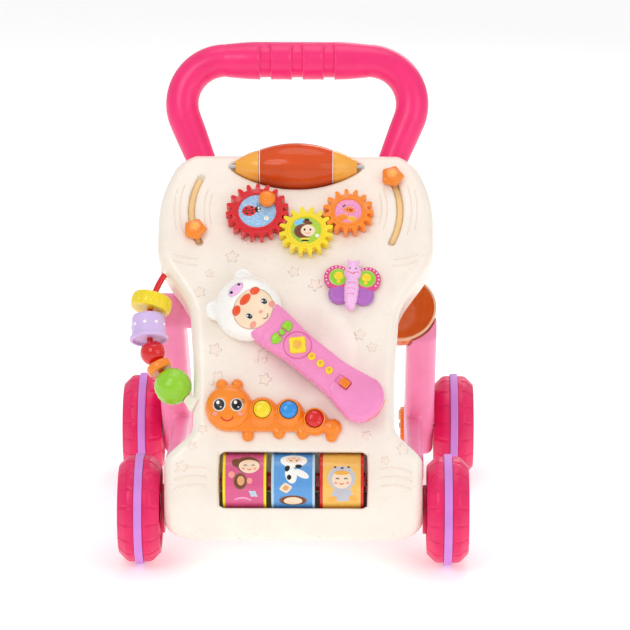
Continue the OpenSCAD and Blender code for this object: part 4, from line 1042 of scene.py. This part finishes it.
def face_marks(p, f, cx, cy, k, up=1, closed_eyes=False):
    """A simple smiling face of size k; up is -1 where it is upside down."""
    for side in (-1, 1):
        if closed_eyes:
            ends = (15, 165) if up > 0 else (195, 345)
            line = arc(cx + side * 0.42 * k, cy + up * 0.02 * k, 0.17 * k, *ends, 8)
            p.add(ribbon(line, 0.09 * k, f, 0.05, 0.3), black)
        else:
            x, y = cx + side * 0.4 * k, cy + up * 0.05 * k
            p.add(blob(x, y, 0.11 * k, 0.14 * k, f, 0, 0.06, 0.3, 0.1, n=16, rings=3), black)
        x, y = cx + side * 0.62 * k, cy - up * 0.28 * k
        p.add(blob(x, y, 0.17 * k, 0.12 * k, f, 0, 0.04, 0.3, 0.1, n=16, rings=3), blush)
    smile = arc(cx, cy - up * 0.22 * k, 0.2 * k, *((200, 340) if up > 0 else (20, 160)), 8)
    p.add(ribbon(smile, 0.09 * k, f, 0.05, 0.3), red)


def print_ovals(p, f, ovals, n=40):
    """Each oval is (x, y, half width, half height, material, height above the card, turn, petals)."""
    for x, y, rx, ry, mat, level, *rest in ovals:
        turn, shape = rest + [0, None][len(rest):]
        p.add(blob(x, y, rx, ry, f, turn, 0.07, level, 0.15, shape=shape, n=n), mat)


def monkey(p, f):
    print_ovals(p, f, ((-8, 17.5, 4.6, 5.6, brown, 0.02, 20), (3, 16, 11.6, 10.2, brown, 0.04),
                       (-4, -2, 6.6, 8.2, brown, 0.03), (-3.4, -1.5, 3.6, 4.6, tan, 0.1),
                       (4.5, 13.5, 10, 7.6, skin, 0.12), (-12.5, 4.5, 3, 3.2, blush, 0.04),
                       (5, -1.5, 2.6, 2.8, blush, 0.04)))
    face_marks(p, f, 4.5, 13, 9, closed_eyes=True)
    print_ovals(p, f, ((8.5, -14.5, 5.4, 3.6, pale_blue, 0.04, -35, petals(4, 0.35)),
                       (8.5, -14.5, 1.6, 1.4, grey, 0.1)))
    p.add(ribbon(arc(-2, -32, 13, 50, 125, 14), 2.0, f, 0.06, 0.04), rose_card)


def panda(p, f):
    print_ovals(p, f, ((0.5, 20.5, 13, 8.5, white, 0.03), (-2, 4.5, 5.6, 8.6, white, 0.02, 12),
                       (8, 5.5, 8, 3.4, white, 0.02, -28), (-5.6, 11, 2.4, 3.4, black, 0.1, -20),
                       (5.2, 13.4, 3.4, 2.2, black, 0.1), (-3.8, 2.0, 2.2, 2.6, black, 0.1),
                       (0.6, 21.5, 7.8, 4.6, skin, 0.1)))
    face_marks(p, f, 0.6, 20.5, 7, up=-1)
    print_ovals(p, f, ((-7, -8.4, 6.2, 5.2, skin, 0.03, 10, petals(4, 0.2)),
                       (-7, -8.4, 3.4, 2.8, tan, 0.1, 10, petals(4, 0.2)), (0, -22, 13.6, 6, brown, 0.03),
                       (0, -22.5, 9, 4.6, skin, 0.1)))


def lamb(p, f):
    print_ovals(p, f, ((0.5, -15, 10, 8, grey, 0.02), (-9, -20, 5, 3.4, amber, 0.05, 20),
                       (11, -19, 5, 3.4, amber, 0.05, -20),
                       (0, 1.5, 14.2, 13.2, grey, 0.05, 0, petals(14, 0.1)),
                       (0, 0, 9.4, 8.8, skin, 0.12), (0, 6.6, 7.6, 2.2, amber, 0.17),
                       (-6.4, 12.6, 1.2, 1.0, black, 0.12), (6.6, 12.6, 1.2, 1.0, black, 0.12),
                       (0.4, 11.6, 1.6, 1.2, brown, 0.12)), 60)
    face_marks(p, f, 0, -0.5, 9.5, closed_eyes=True)


roller(0, yellow, magenta_card, "left", "toy_yellow", monkey)
roller(1, pale_blue, blue_card, "middle", "pale_blue", panda)
roller(2, red, yellow_card, "right", "toy_red", lamb)

# ---- bead rod and beads ----
rod = at_face(-46.4, 173.8, -14)


def rod_point(deg, extra=0.0):
    a = math.radians(deg)
    return [(97 + extra) * math.cos(a), (97 + extra) * math.sin(a), 0]


arc_points = np.array([rod_point(a) for a in np.linspace(139, 241, 60)])
rod_piece = Piece().add(sweep(arc_points, 3, rod, 18), red)


def along_rod(deg):
    a = math.radians(deg)
    radial, tangent = np.array([math.cos(a), math.sin(a), 0]), np.array([math.sin(a), -math.cos(a), 0])
    local = np.array([radial, [0, 0, 1], tangent]) @ rod.m
    return Frame(rod(rod_point(deg)), *local)


for deg, side in ((239.2, 1), (142.2, -1)):
    prof = fillet([(3.1, -1), (4.6, -1, 0.6), (5.2, 2, 1), (8.8, 9.5, 1), (8.8, 12), (3.1, 12)])
    spot = along_rod(deg - side * 9.5 * 0.59)
    rod_piece.add(lathe(prof * [1, -side], 40, spot), cream)
rod_piece.make("bead_rod_bar", BODY, "toy_red", ["bead_rod"])


def bead(name, deg, profile, mat, slot, bend=None, n=64, extra=None):
    spot = along_rod(deg)
    p = Piece().add(lathe(fillet(profile), n, spot, bend), mat)
    if extra:
        extra(p, spot)
    p.make("bead_" + name + "_turned", "bead_" + name, slot, ["bead_" + name], 50)


def ball(r, half, hole=3.4, steps=12):
    top = math.asin(half / r)
    arc_pts = [(r * math.cos(t), r * math.sin(t)) for t in np.linspace(top, -top, steps)]
    return [(hole, half - 0.4), (r * math.cos(top) - 0.6, half, 0.5)] + arc_pts[1:-1] + [
        (r * math.cos(top) - 0.6, -half, 0.5), (hole, 0.4 - half)]


def yellow_notch(a, r, z):
    return r - 0.7 * ease((np.cos(12 * a) - 0.6) / 0.3) * ease((r - 17) / 3), z


def studs(p, spot):
    for k in range(9):
        a = 2 * math.pi * k / 9
        radial = math.cos(a) * spot.m[0] + math.sin(a) * spot.m[1]
        across = np.cross(spot.m[2], radial)
        f = Frame(spot([0, 0, 0]) + radial * 16.6 + spot.m[2] * 1.5, across, spot.m[2], radial)
        p.add(lathe(fillet([(0, -0.5), (1.9, -0.4, 0.4), (1.5, 0.8, 0.6), (0, 0.9)]), 18, f), white)


def ridges(a, r, z):
    band = ease((np.cos(9 * (a + z * 0.02)) - 0.1) / 0.5)
    return r - 0.55 * band * ease((r - 8) / 4), z


bead("yellow", 167.6, ball(20.3, 7.1), yellow, "toy_yellow", yellow_notch, 144)
cap = [(3.4, 12.6), (15.2, 12.9, 1.5), (16.2, 10, 2), (16.9, -8, 1), (18.9, -9.6, 0.8), (18.9, -12.6, 0.8),
       (16, -12.9, 0.4), (15.4, -10.6, 0.6), (3.4, -10.4)]
bead("lilac", 183, cap, lilac, "lilac_plastic", extra=studs)
bead("red", 198.4, ball(12.5, 10.7), red, "toy_red")
bead("orange", 208.3, ball(12.5, 4.3), orange, "toy_orange")
bead("green", 222.3, ball(18.2, 17.7), green, "toy_green", ridges, 144)

# ---- ball cup ----
tilt = math.radians(45)
cup_f = Frame(cup, [1, 0, 0], [0, math.sin(tilt), math.cos(tilt)], [0, -math.cos(tilt), math.sin(tilt)])
t = np.linspace(0.0, math.pi / 2, 26)
wall = [(r * math.sin(a), -r * math.cos(a)) for r, turn in ((CUP_R, t), (CUP_INNER, t[::-1])) for a in turn]
bowl = Piece().add(lathe(wall, 96, cup_f), cup_orange)
bowl.make("ball_cup_bowl", BODY, "cup_orange", ["ball_cup"], 60)
rim = fillet([(35.7, 0.1), (CUP_R, 0.1, 0.3), (37.95, 3.4, 0.9), (CUP_INNER, 3.4, 0.9), (35.7, 0.1)])
lip = Piece().add(lathe(rim[:-1], 96, cup_f, closed=True), rim_peach)
lip.make("ball_cup_lip", BODY, "rim_peach", ["cup_rim"], 60)

# ---- phone ----
phone = at_face(*PHONE_AT).turned(PHONE_TURN)
FLOWER, SMALL, SWITCH = (0, 7.5), [(0, -10.5), (0, -21.5), (0, -32.5)], (0, -52)


def handset(x, y, z):
    w = 23.8 - 6.6 * ease((y + 82) / 52) + 3.6 * ease((y - 4) / 40)
    end = length(x, np.minimum(y + 71, 0)) - 23.8
    edge = np.where(y < -71, end, np.abs(x) - w)
    edge = np.maximum(edge, y - 70)
    d = both(edge, np.abs(z - 11) - 11, 7.5)
    crown = z - 22 + 0.0045 * x * x
    d = smax(d, crown, 1.5)
    seam = np.maximum(np.abs(z - 11.5) - 0.5, -edge - 1.2)
    d = smax(d, -seam, 0.6)
    neck = np.abs(y - 40 + 0.006 * x * x) - 0.5
    d = smax(d, -np.maximum(neck, -d - 0.9), 0.5)
    curve = np.abs(length(x + 1, y + 62) - 21) - 0.45
    d = smax(d, -np.maximum(np.maximum(curve, -(y + 62)), -d - 0.8), 0.5)
    pocket = both(np.abs(x - SWITCH[0]) - 4.6, np.abs(y - SWITCH[1] - 2) - 7.5, 1)
    return smax(d, -np.maximum(pocket, 19.4 - z), 0.6)


hand = Piece().add_net(handset, (-28, -98, -1), (28, 74, 24), 0.95, phone, phone_pink)


def crown_top(x, y):
    return 21.9 - 0.0045 * x * x


bow_at = 27.5
for side in (-1, 1):
    hand.add(blob(side * 7.6, bow_at, 6.8, 5.4, phone, side * 8, 2.2, 0, 0.8, top=crown_top,
                  shape=lambda a, s=side: 1 - 0.42 * ease((s * -np.cos(a) - 0.55) / 0.4)), green)
    line = [(side * 3, bow_at), (side * 7, bow_at + 1.4), (side * 11, bow_at + 2.2)]
    hand.add(ribbon(line, 0.8, phone, 0.4, base=1.9, top=crown_top), yellow)
hand.add(blob(0, bow_at, 3.0, 3.4, phone, 0, 3.2, 0, 0.8, top=crown_top), green)
hand.add(ribbon(arc(FLOWER[0], FLOWER[1], 13.6, 0, 360, 50), 1.0, phone, 0.5, top=crown_top), phone_deep)
t = np.radians(np.linspace(-60, 12, 20) + 24)
chin = np.stack([23.0 * np.sin(t), -71 - 22.6 * np.cos(t)], 1)
hand.add(ribbon(chin, 3.6, phone, 1.0, base=14.5), orange)
hand.make("phone_handset", "phone", "phone_pink", ["phone_front", "phone_back"])


def head_field(x, y, z):
    yy = y - 71
    d = (length(x / 32.8, yy / 32.6, (z - 9) / 19.6) - 1) * 19.6
    d = np.maximum(d, np.where(z < 9, length(x, yy) - 32.6, -100))
    for side in (-1, 1):
        ex, ey = side * 22, 95
        ear = (length((x - ex) / 9.5, (y - ey) / 10.5, (z - 8) / 6.5) - 1) * 6.5
        inner = (length((x - ex) / 5.5, (y - ey - 1) / 6.5, (z - 15) / 4.5) - 1) * 4.5
        d = smin(d, smax(ear, -inner, 1), 2)
    face = (length(x / 24, (y - 65.5) / 21.5, (z - 31) / 6.5) - 1) * 6.5
    d = smax(d, -face, 1.2)
    return np.maximum(d, 0.3 - z)


def head_top(x, y):
    inside = np.maximum(0.03, 1 - (x / 32.8) ** 2 - ((y - 71) / 32.6) ** 2)
    dome = 9 + 19.6 * np.sqrt(inside)
    dip = 31 - 6.5 * np.sqrt(np.maximum(0, 1 - (x / 24) ** 2 - ((y - 65.5) / 21.5) ** 2))
    return np.minimum(dome, np.where((x / 24) ** 2 + ((y - 65.5) / 21.5) ** 2 < 1, dip, 99))


head = Piece().add_net(head_field, (-36, 34, -1), (36, 108, 31), 0.95, phone, white)
head.add(blob(0, 63.5, 21.5, 18.2, phone, 0, 0.5, 0.2, 0.8, top=head_top, rings=12, n=72), skin)
for x, y, rx, ry, turn in ((-12.5, 74.5, 5.6, 4.4, 20), (1.8, 75.5, 7.2, 4.2, 0), (14.5, 74, 5.2, 4.4, -20)):
    head.add(blob(x, y, rx, ry, phone, turn, 1.3, 0.6, 0.8, top=head_top, shape=petals(2, 0.1)), fringe)


def head_mark(x, y, rx, ry, mat, thick, base, under=0.3, **more):
    head.add(blob(x, y, rx, ry, phone, 0, thick, base, under, top=head_top, **more), mat)


for x, y in ((-8.6, 61.8), (12.0, 60.6)):
    head_mark(x, y, 3.3, 4.0, white, 0.3, 0.7)
    head_mark(x, y - 0.2, 2.7, 3.4, black, 0.35, 0.85)
    head_mark(x - 0.8, y + 1.2, 0.9, 1.0, white, 0.3, 1.15, 0.2, n=16, rings=3)
    head_mark(x + 0.9, y - 1.4, 0.5, 0.5, white, 0.3, 1.1, 0.2, n=12, rings=3)
head_mark(2.0, 55.8, 2.0, 1.7, blush, 0.8, 0.6, n=24)
for x in (-12.5, 15.5):
    head_mark(x, 53.4, 3.6, 2.6, blush, 0.15, 0.65, n=24)
head.add(ribbon(arc(2.0, 51.8, 3.8, 205, 335, 13), 0.7, phone, 0.3, base=0.7, top=head_top), brown)
head_mark(4, 89.5, 9.5, 5.2, pale_pink, 2.0, 0, 1.2)
for x in (-1.5, 9.4):
    head_mark(x, 90.2, 1.7, 1.9, black, 0.5, 1.7, 0.4, n=20, rings=3)
head.make("phone_doll_head", "phone", "phone_white", ["phone_head"])


def push_button(place, r, name, node, scallop):
    spot = phone.moved(place[0], place[1], 0)
    prof = fillet([(0, 13.2), (r - 0.2, 13.2, 0.2), (r, 22.4, 0.6), (r - 0.9, 24.4, 1.2),
                   (r * 0.45, 24.6, 0.6),
                   (r * 0.4, 23.9, 0.4), (0, 24.0)])

    def bend(a, rr, z):
        notch = scallop * np.abs(np.sin(2 * a)) * ease((rr - r * 0.4) / 2) * ease((z - 21.5) / 0.5)
        return rr * (1 - notch), z
    p = Piece().add(lathe(prof, 80, spot, bend), yellow)
    p.add(blob(0, 0, r * 0.36, r * 0.36, spot, 0, 1.0, 24.0, 0.8), amber)
    p.make(name, node, "toy_yellow", [node], 50)


push_button(FLOWER, 10.8, "phone_flower_key", "flower_button", 0.26)
for place, which in zip(SMALL, ("upper", "middle", "lower")):
    push_button(place, 3.9, "phone_round_key_" + which, "phone_button_" + which, 0.0)


def thumb(x, y, z):
    d = both(both(np.abs(x - SWITCH[0]) - 3.9, np.abs(y - SWITCH[1]) - 4.9, 1.6), np.abs(z - 21.9) - 2.1, 0.9)
    grip = np.abs((y - SWITCH[1] + 30) % 2.0 - 1.0) - 0.4
    return smax(d, -np.maximum(grip, 23.3 - z), 0.4)


switch = Piece().add_net(thumb, (-6, -60, 18), (6, -45, 25), 0.45, phone, orange)
switch.make("phone_thumb_switch", "phone_switch", "toy_orange", ["phone_switch"])

# ---- speed knobs ----
def knurl(a, r, z):
    return r - 0.6 * ease((np.cos(24 * a) - 0.2) / 0.5) * ease((r - 17) / 1.5), z


DIAL = fillet([(3.1, 0.35), (19.3, 0.35, 0.6), (19.3, 4.2, 1.2), (8, 4.2, 1), (7.4, 3.2, 0.5), (3.1, 3.2)])
for side, name in ((-1, "left"), (1, "right")):
    spot = x_axis(side * 111, AXLE_Y, AXLE_Z, -side)
    node = "speed_knob_" + name
    p = Piece().add(lathe(DIAL, 192, spot, knurl), orange)
    p.add(ribbon(np.stack([np.zeros(8), np.linspace(6, 17.2, 8)], 1), 4.4, spot, 1.9, base=4.1), amber)
    p.make(node + "_dial", node, "toy_orange", [node], 50)

# ---- stage, light and camera ----
me = bpy.data.meshes.new("floor")
me.from_pydata([(-6, -5, 0), (6, -5, 0), (6, 7, 0), (-6, 7, 0)], [], [(0, 1, 2, 3)])
floor = bpy.data.objects.new("floor", me)
bpy.context.scene.collection.objects.link(floor)
floor_white = plastic("floor_white", (252, 252, 252), 0.6, 0.01, 0.01)
glow = floor_white.node_tree.nodes["Principled BSDF"].inputs
glow["Emission Color"].default_value = (1, 1, 1, 1)
glow["Emission Strength"].default_value = 0.32
me.materials.append(floor_white)


def area(name, at, to, size, power, tint=(1, 1, 1)):
    lamp = bpy.data.lights.new(name, "AREA")
    lamp.shape, lamp.size, lamp.energy, lamp.color = "DISK", size, power, tint
    ob = bpy.data.objects.new(name, lamp)
    bpy.context.scene.collection.objects.link(ob)
    ob.location = at
    ob.rotation_euler = (Vector(to) - Vector(at)).to_track_quat("-Z", "Y").to_euler()


area("key", (-0.9, -1.5, 1.7), (0, 0, 0.25), 1.1, 8.5)
area("fill", (1.3, -1.3, 0.9), (0, 0, 0.2), 1.2, 4)
area("top", (0.1, 0.2, 2.0), (0, 0, 0.2), 1.2, 5)
area("rear", (0.6, 1.7, 1.2), (0, 0, 0.2), 1.2, 6)
world = bpy.data.worlds.new("studio")
bpy.context.scene.world = world
world.use_nodes = True
tree = world.node_tree
tree.nodes["Background"].inputs["Color"].default_value = (1, 1, 1, 1)
tree.nodes["Background"].inputs["Strength"].default_value = 0.62
seen = tree.nodes.new("ShaderNodeBackground")
seen.inputs["Color"].default_value = (1, 1, 1, 1)
seen.inputs["Strength"].default_value = 1.0
choose = tree.nodes.new("ShaderNodeMixShader")
tree.links.new(tree.nodes.new("ShaderNodeLightPath").outputs["Is Camera Ray"], choose.inputs["Fac"])
tree.links.new(tree.nodes["Background"].outputs["Background"], choose.inputs[1])
tree.links.new(seen.outputs["Background"], choose.inputs[2])
tree.links.new(choose.outputs["Shader"], tree.nodes["World Output"].inputs["Surface"])
bpy.context.scene.view_settings.view_transform = "Standard"

elevation, azimuth = math.radians(16.02), math.radians(0.738)
back_to = Vector((math.sin(azimuth) * math.cos(elevation), -math.cos(azimuth) * math.cos(elevation),
                  math.sin(elevation)))
cam = bpy.data.cameras.new("camera")
cam.lens, cam.sensor_width, cam.clip_start, cam.clip_end = 204.85, 36, 0.1, 100
camera = bpy.data.objects.new("camera", cam)
bpy.context.scene.collection.objects.link(camera)
camera.location = Vector((0.01894, 0, 0.21363)) + back_to * 3.6
camera.rotation_euler = (-back_to).to_track_quat("-Z", "Y").to_euler()
bpy.context.scene.camera = camera

bpy.context.view_layer.update()
